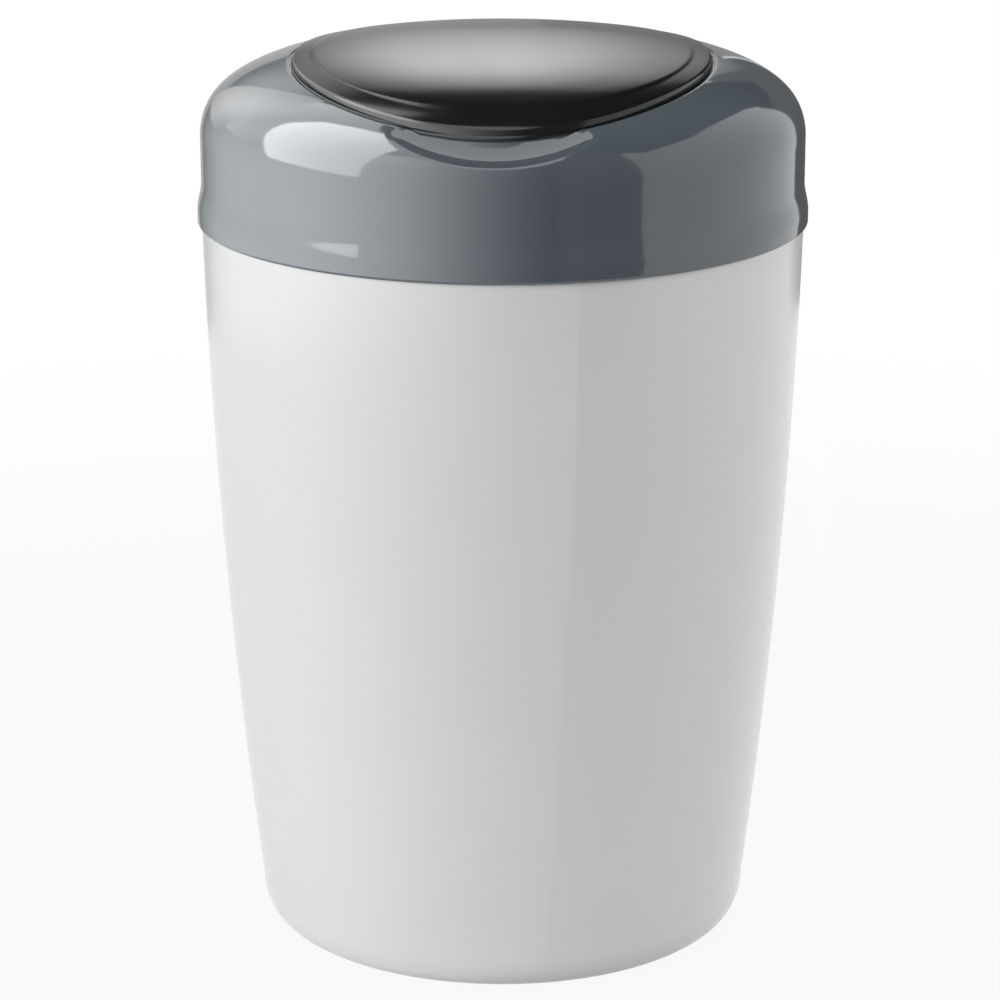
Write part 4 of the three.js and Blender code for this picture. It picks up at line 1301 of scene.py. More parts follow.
@dataclass
class Flap:
    """The hinged flap: domed cover with a barrel, dished liner and round seal."""

    dome: Dome
    oval: Oval
    hinge: Hinge
    gap: float = -1.2
    proud: float = 2.0
    level_until: float = 10.0
    edge_fall: float = 0.9
    round_width: float = 1.0
    rim_drop: float = 2.2
    sheet: float = 2.2
    panel_step: float = 0.3
    panel_inset: float = 8.0
    panel_ease: float = 1.2
    foot_step: float = 0.6
    liner_offset: float = -7.2
    liner_top_drop: float = 2.6
    liner_plate: float = 2.0
    ridge_inner: float = 77.95
    ridge_outer: float = 80.45
    ridge_bottom: float = 356.0
    ridge_overlap: float = 1.2
    dish_drop: float = 9.5
    seal_bottom: float = 352.3
    seal_top: float = 355.7
    seal_inner: float = 76.15
    groove_circles: tuple[float, ...] = (22.0, 46.0)
    groove_depth: float = 0.8
    screw_angles: tuple[float, ...] = (45, 135, 225, 315)
    screw_circle: float = 60.0
    screw_bite: float = 8.0
    columns: int = 256
    plain_shares: tuple[float, ...] = (
        0.985, 0.95, 0.9, 0.82, 0.74, 0.66, 0.58, 0.5, 0.42, 0.35, 0.28, 0.22, 0.17,
    )
    rim_insets: tuple[float, ...] = (
        12.5, 11, 10, 9.3, 8.8, 8.5, 8.2, 7.9, 7.6, 7.2, 6.6, 5.8, 5, 4.2, 3.4, 2.8, 2.4, 2.0, 1.6, 1.2,
        0.85, 0.55, 0.32, 0.15, 0.04,
    )
    under_insets: tuple[float, ...] = (8, 14, 26, 40, 55, 70, 82)

    @property
    def wide(self) -> float:
        """Half the width of the flap's edge."""
        return self.oval.semi_x + self.gap

    @property
    def back(self) -> float:
        """The rear of the flap's edge, along Y."""
        return self.oval.centre_y + self.oval.semi_y + self.gap

    def top(self, x: float, y: float, inset: float) -> float:
        """Height of the flap's outer surface at a place and a distance inside its edge.

        Args:
            x: the place's x.
            y: the place's y.
            inset: its distance inside the edge.

        Returns:
            The height.
        """
        proud = lerp(self.proud, 0.0, ease(y, self.level_until, self.back))
        fall = 1 - min(inset / self.round_width, 1.0)
        rounding = self.edge_fall * (1 - math.sqrt(1 - fall * fall))
        band = 1 - ease(inset, self.panel_inset - self.panel_ease, self.panel_inset + self.panel_ease)
        return self.dome.height(math.hypot(x, y)) + proud - rounding - self.panel_step * band

    def on_cover(self, inset: float, drop: float, angle: float) -> Vector:
        """A place of the cover, at a distance inside its edge and a depth below its outer surface."""
        x, y = self.oval.at(angle, 1 - inset / self.wide, self.gap)
        return Vector((x, y, self.top(x, y, inset) - drop))

    def on_rim(self, inset: float, lift: float, angle: float) -> Vector:
        """A place of the rim's side, at a distance inside its edge and a height over the dome."""
        x, y = self.oval.at(angle, 1 - inset / self.wide, self.gap)
        return Vector((x, y, self.dome.height(math.hypot(x, y)) + lift))

    def on_plate(self, inset: float, drop: float, angle: float) -> Vector:
        """A place of the liner's plate, kept outside the ridge.

        Args:
            inset: distance inside the plate's edge.
            drop: depth below the dome.
            angle: the vertex's angle.

        Returns:
            The vertex's place.
        """
        wide = self.oval.semi_x + self.liner_offset
        x, y = self.oval.at(angle, 1 - inset / wide, self.liner_offset)
        reach = math.hypot(x, y)
        radius = max(reach, self.ridge_outer - self.ridge_overlap)
        return Vector((x * radius / reach, y * radius / reach, self.dome.height(radius) - drop))

    def even_angles(self) -> list[float]:
        """Evenly spaced angles round the flap."""
        return [FULL_TURN * step / self.columns for step in range(self.columns)]

    def build_cover(self) -> None:
        """Builds the domed cover with its rim, web and hinge barrel."""
        foot = -self.foot_step
        side = (
            (0, -0.45), (0, -1.05), (foot, -1.15), (foot, -1.95), (foot + 0.1, -self.rim_drop),
            (self.sheet - 0.4, -self.rim_drop), (self.sheet, -1.9), (self.sheet + 0.2, -1.2),
        )
        insets = (*(self.wide * share for share in self.plain_shares), *self.rim_insets)
        rings = rings_of(self.on_cover, [(inset, 0.0) for inset in insets])
        rings += rings_of(self.on_rim, side)
        under = (self.sheet + 1.6, *self.under_insets)
        rings += rings_of(self.on_cover, [(inset, self.sheet) for inset in under])
        cover = Shape.looped(rings, self.even_angles(), caps=True)
        cover.with_parts(self.barrel(), self.web())
        cover.piece("flap_cover_moulding", FLAP_BLACK, Slot.FLAP, Body.FLAP, ["flap_cover"], crease=36)

    def barrel(self) -> Shape:
        """The hinge barrel, a tube along X.

        Returns:
            The closed solid.
        """
        hinge = self.hinge
        half = hinge.barrel_half
        tube = Shape.eased([
            (hinge.bore_radius, -half), (hinge.barrel_radius, -half), (hinge.barrel_radius, half),
            (hinge.bore_radius, half),
        ], 40)
        return tube.turned(math.pi / 2, "Y").moved((0, hinge.y, hinge.z(self.dome)))

    def web(self) -> Shape:
        """The web between the flap's rear rim and its barrel.

        Returns:
            The closed solid.
        """
        hinge = self.hinge
        start = self.back - 1.2
        axis = hinge.z(self.dome)
        rim = self.dome.height(self.back)
        crest = axis + hinge.barrel_radius
        outline = [
            (start, rim - self.rim_drop), (hinge.y - hinge.barrel_radius + 0.2, axis - 0.3),
            (hinge.y - 0.6, crest - 0.1), (hinge.y - 3.2, crest + 0.7), (self.back, rim - 0.3),
            (start, rim - 0.4),
        ]
        half = hinge.barrel_half - 0.1
        plate = Shape.prism(outline, -half, half, 0.35)
        return plate.turned(math.pi / 2, "Y").turned(math.pi / 2, "X").sealed()

    def build_liner(self) -> None:
        """Builds the liner: an oval plate that carries a round ridge and a flat dish."""
        under = self.liner_top_drop + self.liner_plate
        above = self.liner_top_drop
        drops = [
            (20, above), (0.7, above), (0.2, above + 0.15), (0, above + 0.6),
            (0, under - 0.6), (0.2, under - 0.15), (0.7, under), (20, under),
        ]
        plate = Shape.looped(rings_of(self.on_plate, drops), self.even_angles())
        dish_top = self.dome.height(self.ridge_inner) - self.dish_drop
        dish = dish_top - self.liner_plate
        crown = self.dome.height(self.ridge_outer) - under + self.ridge_overlap
        grooves: list[Corner] = []
        deep = dish - self.groove_depth
        for circle in self.groove_circles:
            grooves += [(circle, dish, 0.6), (circle + 1, deep, 0.5)]
            grooves += [(circle + 3, deep, 0.5), (circle + 4, dish, 0.6)]
        ridge = Shape.spun(eased_outline([
            (0, dish_top), (0, dish), *grooves,
            (self.ridge_inner, dish, 2.0), (self.ridge_inner, self.ridge_bottom, 0.5),
            (self.ridge_outer, self.ridge_bottom, 0.5), (self.ridge_outer, crown, 0.3),
            (self.ridge_inner, crown, 0.3), (self.ridge_inner, dish_top, 0.6),
        ])[::-1], 160)
        plate.with_parts(ridge)
        plate.piece("flap_liner_moulding", LINER_GREY, Slot.LINER, Body.FLAP, ["flap_liner"])

    def build_seal(self) -> None:
        """Spins the seal: a base under the ridge, a leg inside it and two soft beads."""
        bottom = self.seal_bottom
        seal = Shape.eased([
            (self.seal_inner, bottom + 0.5, 0.5), (self.seal_inner + 0.8, bottom, 0.5),
            (self.seal_inner + 1.7, bottom + 0.9, 0.5), (self.ridge_outer - 1.6, bottom + 0.9, 0.5),
            (self.ridge_outer - 0.7, bottom, 0.5), (self.ridge_outer, bottom + 0.7, 0.4),
            (self.ridge_outer, self.seal_top, 0.3), (self.ridge_inner - 0.3, self.seal_top, 0.1),
            (self.ridge_inner - 0.3, self.seal_top + 5, 0.5), (self.seal_inner, self.seal_top + 5, 0.5),
        ])
        seal.piece("flap_seal_ring", SEAL_BLACK, Slot.SEAL, Body.FLAP, ["flap_seal"])

    def build(self) -> None:
        """Builds the flap's pieces."""
        self.build_cover()
        self.build_liner()
        self.build_seal()
        seat = self.dome.height(self.ridge_inner) - self.dish_drop - self.liner_plate - 0.3
        Screw().build("flap_screw", Body.FLAP, self.screw_angles, self.screw_circle, seat, self.screw_bite)


@dataclass
class Fasteners:
    """The hinge pin and the screws that hold the lid's frame to its cover."""

    dome: Dome
    hinge: Hinge
    screw_angles: tuple[float, ...] = (0, 50, 130, 180, 230, 310)
    screw_circle: float = 112.0
    screw_seat: float = 338.0
    screw_bite: float = 12.0

    def build(self) -> None:
        """Builds the pin and the frame's screws."""
        hinge = self.hinge
        pin = Shape.rod(hinge.pin_radius, hinge.pin_half, 0.4, 32)
        pin.turned(math.pi / 2, "Y").moved((0, hinge.y, hinge.z(self.dome)))
        pin.piece("hinge_pin_steel", STEEL, Slot.STEEL, Body.LID, ["hinge_pin"])
        Screw().build(
            "frame_screw", Body.LID, self.screw_angles, self.screw_circle, self.screw_seat, self.screw_bite,
        )


@dataclass
class TwistUnit:
    """The twist ring, its film cutter and the film cassette that turns with it."""

    bore: float = 59.0
    outer: float = 75.4
    bottom: float = 341.3
    top: float = 344.1
    tube_outer: float = 71.5
    tube_inner: float = 69.5
    tube_bottom: float = 334.3
    grip_inner: float = 66.0
    grip_outer: float = 72.0
    grip_top: float = 356.1
    grip_span: float = math.radians(44)
    key_angles: tuple[float, ...] = (60.0, 180.0, 300.0)
    key_inner: float = 64.0
    key_outer: float = 68.0
    key_bottom: float = 331.8
    cutter_angle: float = math.radians(-60)
    knob_inner: float = 63.7
    knob_outer: float = 70.7
    knob_bottom: float = 344.4
    knob_top: float = 350.0
    stem_inner: float = 65.2
    stem_outer: float = 69.2
    stem_bottom: float = 338.7
    knob_half: float = 5.5
    stem_half: float = 2.2
    slot_half: float = 2.5
    slot_travel: float = 4.3
    slot_clear: float = 0.3
    slit_half: float = 0.7
    slit_top: float = 340.8
    knob_ribs: int = 4
    knob_rib_half: float = 3.8
    knob_rib_pitch: float = 1.35
    blade_bottom: float = 335.0
    blade_top: float = 340.5
    blade_length: float = 7.0
    blade_slant: float = 2.4
    face_inner: float = 64.2
    face_outer: float = 73.8
    face_depth: float = 0.5
    grip_ribs: int = 11
    grip_rib_low: float = 347.0
    grip_rib_high: float = 354.0
    grip_rib_pitch: float = math.radians(3.4)
    grip_rib_span: float = math.radians(1.3)
    cassette_bottom: float = 277.7
    cassette_top: float = 330.7
    cassette_outer: float = 71.0
    cassette_wall: float = 1.8
    passage: float = 58.2
    cap_bottom: float = 331.0
    cap_top: float = 333.2
    cap_skirt: float = 3.0
    core_top: float = 334.4
    film_bottom: float = 279.8
    film_top: float = 325.7
    film_pleats: int = 20

    def key(self, grow: float, bottom: float, top: float, degrees: float) -> Shape:
        """A key tab, or the slot for one, at an angle.

        Args:
            grow: a slot's clearance, 0 for a tab.
            bottom: its lower height.
            top: its upper height.
            degrees: the angle that it sits at.

        Returns:
            The closed solid.
        """
        section = [
            (self.key_inner - grow, bottom), (self.key_outer + grow, bottom),
            (self.key_outer + grow, top), (self.key_inner - grow, top),
        ]
        span = math.radians(10 + grow * 6)
        return Shape.arc(section, math.radians(degrees), span, 6, 0.25)

    def build_ring(self) -> None:
        """Builds the twist ring: flange, register tube, grips with ribs, keys and the cutter's slot."""
        face = self.top - self.face_depth
        ring = Shape.eased([
            (self.bore, self.bottom, 0.8), (self.tube_inner, self.bottom, 0.4),
            (self.tube_inner, self.tube_bottom, 0.5), (self.tube_outer, self.tube_bottom, 0.5),
            (self.tube_outer, self.bottom, 0.4), (self.outer, self.bottom, 0.6), (self.outer, self.top, 0.9),
            (self.face_outer, self.top, 0.3), (self.face_outer - 0.4, face, 0.3),
            (self.face_inner + 0.6, face, 0.4), (self.face_inner, self.top, 0.4), (self.bore, self.top, 1.1),
        ], 160)
        slot = Shape.bar(
            (self.stem_inner - self.slot_travel, self.tube_bottom - 2),
            (self.stem_outer + self.slot_clear, self.knob_top), self.slot_half, 0.4,
        )
        ring.blended(slot.turned(self.cutter_angle), Blend.CUT)
        grip = eased_outline([
            (self.grip_inner, self.bottom + 0.5, 0.1), (self.grip_outer, self.bottom + 0.5, 0.1),
            (self.grip_outer - 0.6, self.grip_top, 2.0), (self.grip_inner + 0.9, self.grip_top, 2.0),
        ])
        low, high = self.grip_rib_low, self.grip_rib_high
        rib = [
            (self.grip_inner - 0.2, low), (self.grip_inner + 2, low), (self.grip_inner + 2, high),
            (self.grip_inner + 0.2, high),
        ]
        for middle in (0.0, math.pi):
            ring.with_parts(Shape.arc(grip, middle, self.grip_span, 32, 1.1))
            for count in range(self.grip_ribs):
                turn = (count - self.grip_ribs // 2) * self.grip_rib_pitch
                ring.with_parts(Shape.arc(rib, middle + turn, self.grip_rib_span, 2, 0.35))
        for degrees in self.key_angles:
            ring.with_parts(self.key(0, self.key_bottom, self.bottom + 0.4, degrees))
        ring.piece("twist_ring_moulding", RING_TEAL, Slot.RING, Body.TWIST, ["twist_ring"])

    def build_cutter(self) -> None:
        """Builds the cutter's ribbed thumb slide and its blade."""
        low, high = self.knob_bottom, self.knob_top
        near, far, foot = self.stem_inner, self.stem_outer, self.stem_bottom
        knob = Shape.bar((self.knob_inner, low), (self.knob_outer, high), self.knob_half, 1.1)
        stem = Shape.bar((near, foot), (far, low + 1), self.stem_half, 0.2)
        stem.blended(Shape.bar((near - 2, foot - 2), (far + 2, self.slit_top), self.slit_half), Blend.CUT)
        knob.with_parts(stem)
        for step in range(self.knob_ribs):
            x = self.knob_inner + 1.5 + step * self.knob_rib_pitch
            knob.with_parts(Shape.bar((x - 0.3, high - 0.6), (x + 0.3, high + 0.4), self.knob_rib_half, 0.25))
        knob.turned(self.cutter_angle)
        knob.piece("cutter_knob_moulding", FLAP_BLACK, Slot.FLAP, Body.CUTTER, ["cutter_knob"])
        inner = far - self.blade_length
        outline = [
            (inner, self.blade_bottom), (far, self.blade_bottom), (far, self.blade_top),
            (inner + self.blade_slant, self.blade_top),
        ]
        blade = Shape.prism(outline, -0.4, 0.4, 0.12).turned(math.pi / 2, "X").turned(self.cutter_angle)
        blade.piece("cutter_blade_steel", STEEL, Slot.STEEL, Body.CUTTER, ["cutter_blade"])

    def build_cassette(self) -> None:
        """Builds the cassette's trough, its keyed cap and the pleated film inside."""
        wall = self.cassette_wall
        core = self.passage + wall
        outer = self.cassette_outer
        inside = outer - wall
        floor = self.cassette_bottom + wall
        body = Shape.eased([
            (self.passage, self.cassette_bottom, 0.9), (outer, self.cassette_bottom, 1.2),
            (outer, self.cassette_top, 0.4), (inside, self.cassette_top, 0.4), (inside, floor, 0.8),
            (core, floor, 0.8), (core, self.core_top, 0.8), (self.passage, self.core_top, 0.8),
        ])
        body.piece("cassette_trough", FRAME_WHITE, Slot.FRAME, Body.TWIST, ["cassette_body"])
        lip = inside - 0.3
        skirt = self.cap_bottom - self.cap_skirt
        cap = Shape.eased([
            (core + 1.2, self.cap_bottom, 0.5), (lip - wall, self.cap_bottom, 0.3), (lip - wall, skirt, 0.4),
            (lip, skirt, 0.4), (lip, self.cap_bottom, 0.2), (outer, self.cap_bottom, 0.4),
            (outer, self.cap_top, 0.8), (core + 1.2, self.cap_top, 0.9),
        ])
        for degrees in self.key_angles:
            cap.blended(self.key(0.3, self.cap_bottom - 5, self.cap_top + 2, degrees), Blend.CUT)
        cap.piece("cassette_cap_moulding", RING_TEAL, Slot.RING, Body.TWIST, ["cassette_cap"])
        self.build_film(core + 1.3, inside - 1.3)

    def build_film(self, inner: float, outer: float) -> None:
        """Builds the film as a ring of fine level pleats.

        Args:
            inner: the pack's inner radius.
            outer: the pack's outer radius.
        """
        low, high = self.film_bottom, self.film_top
        heights = [lerp(low, high, (step + 0.5) / self.film_pleats) for step in range(self.film_pleats)]
        section: list[Corner] = [(inner, low)]
        for height in heights:
            section += [(outer, height - 0.8), (outer - 0.7, height + 0.6)]
        section += [(inner, high)]
        for height in reversed(heights):
            section += [(inner + 0.7, height + 0.6), (inner, height - 0.8)]
        pack = Shape.spun(section, 96)
        pack.piece("film_pleats", FILM_MILK, Slot.FILM, Body.TWIST, ["film_pack"], crease=80)

    def build(self) -> None:
        """Builds the twist unit's pieces."""
        self.build_ring()
        self.build_cutter()
        self.build_cassette()


@dataclass
class Gripper:
    """The collar under the well, with six sprung fingers that close the passage."""

    count: int = 6
    bore: float = 62.0
    top: float = 274.7
    bottom: float = 272.3
    collar_inner: float = 74.5
    collar_outer: float = 76.5
    collar_top: float = 283.7
    hinge_radius: float = 57.5
    axis: float = 268.7
    finger_half: float = 20.99
    barrel_radius: float = 1.9
    stub_radius: float = 1.2
    stub_length: float = 3.2
    plate: float = 1.6
    gap: float = 1.2
    tip_radius: float = 7.0
    lug_width: float = 4.0
    lug_inner: float = 21.29
    lug_reach: float = 2.7
    lug_depth: float = 5.6
    rib_half: float = 0.5
    rib_depth: float = 0.7
    rib_starts: tuple[tuple[float, float], ...] = ((0.0, 14.0), (-9.0, 27.0), (9.0, 27.0))

    def build_ring(self) -> None:
        """Builds the collar and its lugs."""
        ring = Shape.eased([
            (self.bore, self.bottom, 0.5), (self.collar_outer, self.bottom, 1.0),
            (self.collar_outer, self.collar_top, 0.5), (self.collar_inner, self.collar_top, 0.6),
            (self.collar_inner, self.top, 0.5), (self.bore, self.top, 0.5),
        ])
        reach = self.lug_reach
        for step in range(self.count):
            for side in (-1, 1):
                near = side * self.lug_inner
                far = side * (self.lug_inner + self.lug_width)
                lug = Shape.block(
                    (self.hinge_radius - reach, min(near, far), self.axis - reach),
                    (self.bore + self.lug_depth, max(near, far), self.bottom + 0.4), 0.5,
                )
                ring.with_parts(lug.turned(FULL_TURN * step / self.count))
        ring.piece("grip_ring_moulding", LINER_GREY, Slot.LINER, Body.LID, ["grip_ring"])

    def finger(self) -> Shape:
        """One finger: a wedge plate with ribs, a barrel and two stubs, pointing away from +X.

        Returns:
            The finger, before it is turned to its place.
        """
        slope = math.tan(math.pi / self.count)
        cut = self.gap / 2 / math.cos(math.pi / self.count)
        shoulder = (self.finger_half + cut) / slope
        tip = self.tip_radius * slope - cut
        outline = [
            (self.tip_radius, -tip), (shoulder, -self.finger_half), (self.hinge_radius, -self.finger_half),
            (self.hinge_radius, self.finger_half), (shoulder, self.finger_half), (self.tip_radius, tip),
        ]
        plate = Shape.prism(outline, self.axis - self.plate / 2, self.axis + self.plate / 2, 0.35)
        barrel = Shape.rod(self.barrel_radius, self.finger_half, 0.3, 24)
        stubs = Shape.rod(self.stub_radius, self.finger_half + self.stub_length, 0.3, 20)
        for part in (barrel, stubs):
            plate.with_parts(part.turned(math.pi / 2, "X").moved((self.hinge_radius, 0, self.axis)))
        rib_low = self.axis - self.plate / 2 - self.rib_depth
        for y, start in self.rib_starts:
            low = (start, y - self.rib_half, rib_low)
            plate.with_parts(Shape.block(low, (self.hinge_radius - 2, y + self.rib_half, self.axis), 0.3))
        return plate

    def build(self) -> None:
        """Builds the ring and its fingers."""
        self.build_ring()
        for step in range(self.count):
            name = f"grip_finger_{step + 1}"
            finger = self.finger().turned(FULL_TURN * step / self.count)
            finger.piece(f"{name}_moulding", FINGER_WHITE, Slot.FRAME, f"finger_{step + 1}", [name])


@dataclass(frozen=True)
class Softbox:
    """A rectangular studio lamp that points at the bin and lights its plain colour."""

    name: str
    azimuth: float
    elevation: float
    distance: float
    width: float
    height: float
    radiance: float
    aim: tuple[float, float, float] = (0.0, 0.0, 0.2)

    def build(self) -> None:
        """Places the lamp; azimuth 0 is the front and 90 the bin's right."""
        turn = math.radians(self.azimuth)
        rise = math.radians(self.elevation)
        flat = self.distance * math.cos(rise)
        offset = Vector((flat * math.sin(turn), -flat * math.cos(turn), self.distance * math.sin(rise)))
        data = bpy.data.lights.new(self.name, "AREA")
        data.shape = "RECTANGLE"
        data.size = self.width
        data.size_y = self.height
        data.energy = self.radiance * math.pi * self.width * self.height
        lamp = placed(self.name, data)
        lamp.location = Vector(self.aim) + offset
        lamp.rotation_euler = (-offset).to_track_quat("-Z", "Y").to_euler()
        lamp.visible_camera = False
        lamp.visible_glossy = False


@dataclass(frozen=True)
class Card:
    """A studio card that the camera never sees: a bright one gives sheen, a black one holds it back.

    Azimuths are in degrees from the front, the bin's right being 90. Stops are (azimuth, share of
    the glow), and rises are (height in metres, share of the glow).
    """

    name: str
    glow: float = 0.0
    stops: tuple[tuple[float, float], ...] = ((-180.0, 1.0),)
    tint: Colour = (1.0, 1.0, 1.0)
    rises: tuple[tuple[float, float], ...] = ((0.0, 1.0),)
    in_gloss: bool = True
    in_diffuse: bool = False

    def form(self, bm: bmesh.types.BMesh) -> None:
        """Makes the card's mesh; each kind of card has its own."""
        raise NotImplementedError

    def dress(self, mesh: bpy.types.Mesh) -> None:
        """Gives the card its glow, which changes along its length and with height.

        Args:
            mesh: the card's mesh.
        """
        material = bpy.data.materials.new(self.name)
        sheet = Sheet.of(material)
        where = sheet.node("SeparateXYZ", {0: sheet.place()})
        turn = sheet.out(where, 0).turn_over(0 - sheet.out(where, 1)) * (1 / FULL_TURN) + 0.5
        along = sheet.ramp(turn, [((azimuth + 180) / 360, level) for azimuth, level in self.stops])
        rise = sheet.out(where, 2) * (1 / STUDIO_TOP)
        up = sheet.ramp(rise, [(height / STUDIO_TOP, level) for height, level in self.rises])
        colour = sheet.mixed(along * up, (0.0, 0.0, 0.0), self.tint)
        sheet.end(sheet.wire("Emission", {"Color": colour, "Strength": self.glow}))
        mesh.materials.append(material)

    def build(self) -> None:
        """Forms, dresses and places the card."""
        bm = bmesh.new()
        self.form(bm)
        mesh = mesh_of(bm, self.name)
        self.dress(mesh)
        card = placed(self.name, mesh)
        card.visible_camera = False
        card.visible_glossy = self.in_gloss
        card.visible_diffuse = self.in_diffuse
        card.visible_shadow = False


@dataclass(frozen=True)
class RoundCard(Card):
    """A card bent round the bin: an edge between two (radius, height) places in metres, spun."""

    start: float = -180.0
    end: float = 180.0
    low: tuple[float, float] = (0.88, 0.5)
    high: tuple[float, float] = (0.88, 1.11)

    def form(self, bm: bmesh.types.BMesh) -> None:
        """Spins the card's edge through its azimuths.

        Args:
            bm: the card's empty bmesh.
        """
        ends = [bm.verts.new((0, -radius, height)) for radius, height in (self.low, self.high)]
        edge = bm.edges.new(ends)
        first = Matrix.Rotation(math.radians(self.start), 3, "Z")
        bmesh.ops.rotate(bm, verts=ends, cent=(0, 0, 0), matrix=first)
        bmesh.ops.spin(
            bm, geom=[*ends, edge], cent=(0, 0, 0), axis=(0, 0, 1), angle=math.radians(self.end - self.start),
            steps=max(int(self.end - self.start) // 3, 2),
        )


@dataclass(frozen=True)
class FlatCard(Card):
    """A flat card that faces the lid's shoulder; corners are (towards higher azimuth, up) in metres."""

    azimuth: float = 0.0
    elevation: float = 0.0
    corners: tuple[tuple[float, float], ...] = ()
    distance: float = 0.7
    aim_height: float = 0.36

    def form(self, bm: bmesh.types.BMesh) -> None:
        """Lays out the card's corners on a plane square to the line from the lid.

        Args:
            bm: the card's empty bmesh.
        """
        turn = math.radians(self.azimuth)
        rise = math.radians(self.elevation)
        away = Vector((math.sin(turn) * math.cos(rise), -math.cos(turn) * math.cos(rise), math.sin(rise)))
        side = Vector((math.cos(turn), math.sin(turn), 0))
        axes = Matrix((side, away.cross(side), away)).transposed().to_4x4()
        place = Matrix.Translation(Vector((0, 0, self.aim_height)) + away * self.distance) @ axes
        verts = [bm.verts.new((across, up, 0)) for across, up in self.corners]
        bm.faces.new(verts)
        bmesh.ops.transform(bm, matrix=place, verts=verts)


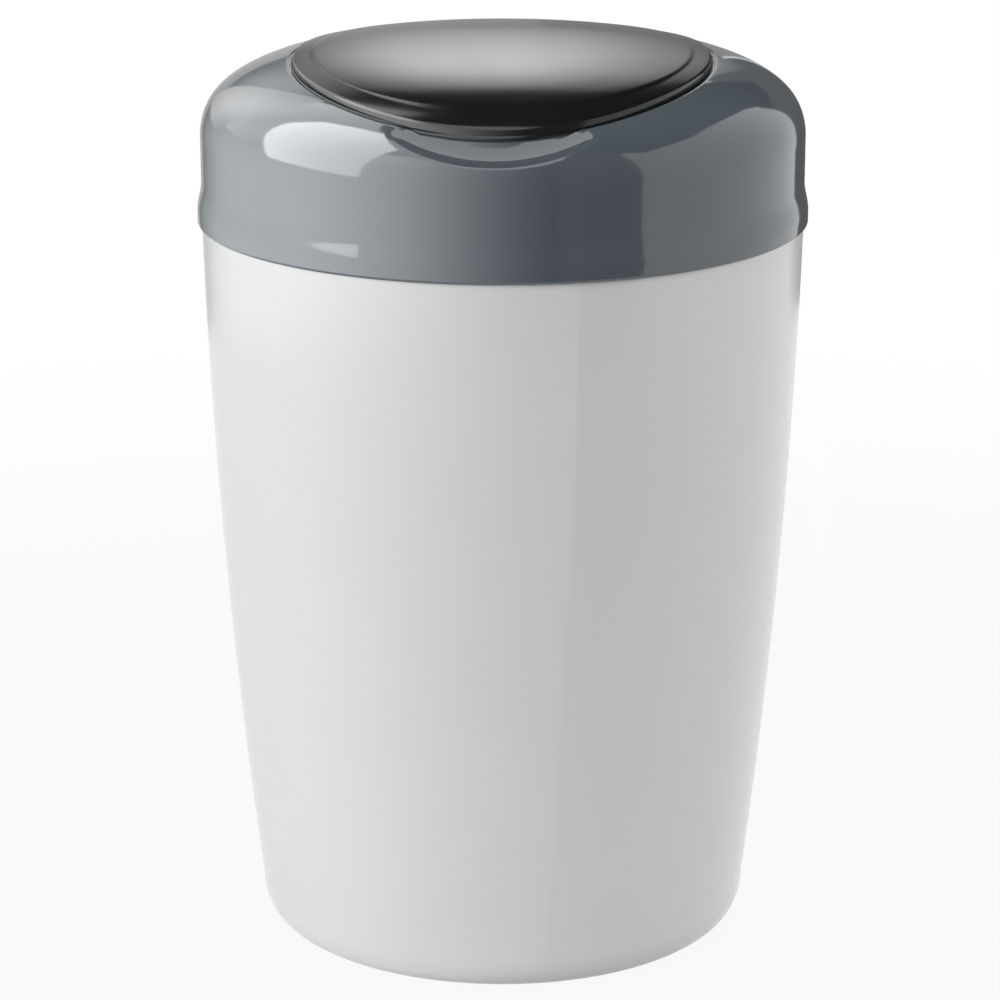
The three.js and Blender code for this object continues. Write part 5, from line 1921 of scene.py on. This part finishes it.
@dataclass
class Studio:
    """Pale floor, soft lamps, gloss cards and the photograph's camera."""

    lamps: tuple[Softbox, ...] = (
        Softbox("left window", -38, 18, 1.7, 1.3, 1.3, 3.9),
        Softbox("right window", 80, 18, 1.7, 1.3, 1.3, 2.85),
        Softbox("overhead", 180, 70, 1.6, 1.6, 1.6, 2.3),
    )
    cards: tuple[Card, ...] = (
        RoundCard("left sweep", 4.4, (
            (-160, 0.03), (-149, 0.06), (-140, 0.12), (-127, 0.24), (-106, 0.58), (-88, 0.82), (-72, 1.0),
            (-58, 0.95), (-46, 0.85), (-34, 0.7), (-22, 0.5), (-10, 0.3), (1, 0.15), (12, 0.05), (22, 0.0),
        ), (0.94, 0.98, 1.0), start=-168, end=30, low=(0.9, 0.045), high=(0.9, 1.11)),
        RoundCard(
            "rim", 0.55, ((-180, 0.7), (-168, 1.0), (-150, 1.0), (168, 0.45), (179, 0.6)),
            start=-192, end=-150, low=(0.88, 0.045), high=(0.88, 0.5),
        ),
        FlatCard("left key", 7.6, ((-98, 0.95), (-78, 1.0), (-50, 0.8)), azimuth=-71, elevation=33, corners=(
            (-0.27, -0.38), (0.05, -0.4), (0.33, -0.42), (0.22, 0.22), (-0.13, 0.46), (-0.43, 0.38),
            (-0.46, 0.21),
        )),
        RoundCard("back glow", 2.75, (
            (-180, 1.0), (-176, 1.0), (-172, 0.95), (-169, 0.7), (-166, 0.42), (-163, 0.25), (-159, 0.33),
            (-153, 0.45), (164, 0.1), (166, 0.25), (169, 0.4), (173, 0.55), (176, 0.75), (179, 0.97),
        ), rises=(
            (0.5, 0.2), (0.56, 0.38), (0.63, 0.6), (0.73, 0.82), (0.87, 1.0), (1.12, 0.25),
        ), start=-196, end=-153),
        RoundCard(
            "left back glow", 2.5, ((-153, 0.55), (-146, 0.8), (-138, 1.0), (-125, 1.0)),
            rises=((0.38, 0.4), (0.5, 0.55), (0.62, 0.75), (0.8, 1.0)),
            start=-153, end=-125, low=(0.88, 0.38),
        ),
        RoundCard(
            "left upper glow", 3.0, ((-125, 0.75), (-112, 0.9), (-100, 1.0)),
            rises=((0.45, 0.82), (0.7, 1.0)), start=-125, end=-96,
        ),
        RoundCard("overhead left", 2.4, start=-150, end=-70, low=(0.36, 1.1), high=(0.88, 1.1)),
        RoundCard("overhead front", 2.0, start=-70, end=25, low=(0.02, 1.1), high=(0.9, 1.1)),
        RoundCard("ceiling", start=-230, end=53, low=(0.01, 1.12), high=(0.95, 1.12)),
        RoundCard("right ceiling", start=53, end=130, low=(0.01, 1.12), high=(0.7, 1.12)),
        FlatCard("right top flag", azimuth=135, elevation=45, corners=(
            (-0.93, 0.32), (-0.65, 0.17), (-0.44, 0.06), (-0.25, 0.0), (-0.13, -0.07), (0.0, -0.17),
            (0.04, -0.24), (0.04, -0.35), (0.31, -0.35), (0.31, 0.0), (0.17, 0.8), (-0.93, 0.8),
        )),
        RoundCard("right edge flag", 0.1, start=140, end=168, low=(0.95, 0.045), high=(0.95, 0.8)),
        RoundCard("front right flag", 0.15, start=20, end=50, low=(0.7, 0.12), high=(0.7, 1.11)),
        RoundCard(
            "front shade", start=-24, end=54, low=(0.5, 0.0), high=(0.5, 0.9),
            in_gloss=False, in_diffuse=True,
        ),
    )
    floor_radius: float = 6.0
    floor_grey: Colour = (0.45, 0.45, 0.45)
    white_from: float = 0.35
    white_by: float = 1.2
    white_near: float = 0.92
    backdrop: float = 0.92
    fill: float = 0.08
    camera_place: tuple[float, float, float] = (0.0487, -1.5510, 0.6513)
    camera_pitch: float = math.radians(90 - 16.73)
    camera_turn: float = math.radians(1.843)
    focal_length: float = 133.96

    def build_floor(self) -> None:
        """Lays the floor: a pale disc that looks white to the camera and keeps a soft shadow."""
        bm = bmesh.new()
        bmesh.ops.create_circle(bm, cap_ends=True, segments=96, radius=self.floor_radius)
        mesh = mesh_of(bm, "floor")
        floor = placed("floor", mesh)
        material = bpy.data.materials.new("floor")
        sheet = Sheet.of(material)
        pale = sheet.wire("BsdfPrincipled", {
            "Base Color": (*self.floor_grey, 1), "Roughness": 0.12 + sheet.noise(90, 2) * 0.04,
            "Specular IOR Level": 0.35,
        })
        white = sheet.wire("Emission", {"Color": (1, 1, 1, 1), "Strength": 1.0})
        distance = sheet.wire("VectorMath", {0: sheet.place()}, 1, operation="LENGTH")
        far = sheet.band(distance, self.white_from, self.white_by, self.white_near, 1.0)
        sheet.end(sheet.wire("MixShader", {0: self.seen(sheet) * far, 1: pale, 2: white}))
        mesh.materials.append(material)

    def seen(self, sheet: Sheet) -> Wire:
        """1 for rays that look at the background, straight or by way of gloss or glass.

        Args:
            sheet: the sheet that asks.

        Returns:
            The answer's wire.
        """
        rays = sheet.node("LightPath")
        looked = sheet.out(rays, "Is Camera Ray").peak(sheet.out(rays, "Is Glossy Ray"))
        return looked.peak(sheet.out(rays, "Is Transmission Ray"))

    def build_world(self) -> None:
        """A white background with a dim, even fill behind it."""
        world = bpy.data.worlds.new("studio")
        bpy.context.scene.world = world
        sheet = Sheet.of(world)
        strength = self.seen(sheet) * self.backdrop + self.fill
        sheet.end(sheet.wire("Background", {"Color": (1, 1, 1, 1), "Strength": strength}), "World")

    def build_camera(self) -> None:
        """Sets up the photograph's camera."""
        data = bpy.data.cameras.new("camera")
        data.lens = self.focal_length
        data.sensor_width = 36.0
        data.clip_start = 0.01
        camera = placed("camera", data)
        camera.location = self.camera_place
        camera.rotation_euler = (self.camera_pitch, 0, self.camera_turn)
        bpy.context.scene.camera = camera

    def build(self) -> None:
        """Builds camera, floor, world, lamps and cards."""
        bpy.context.scene.view_settings.view_transform = "Standard"
        self.build_camera()
        self.build_floor()
        self.build_world()
        for light in (*self.lamps, *self.cards):
            light.build()
            log.info("light: %s", light.name)


def main() -> None:
    logging.basicConfig(level=logging.INFO, format="%(message)s")
    dome = Dome()
    oval = Oval()
    hinge = Hinge()
    assemblies = (
        Studio(), Tub(), LidCover(dome, oval, hinge), LidFrame(), Fasteners(dome, hinge),
        Flap(dome, oval, hinge), TwistUnit(), Gripper(),
    )
    for assembly in assemblies:
        assembly.build()
        log.info("built: %s", type(assembly).__name__)


if __name__ == "__main__":
    main()
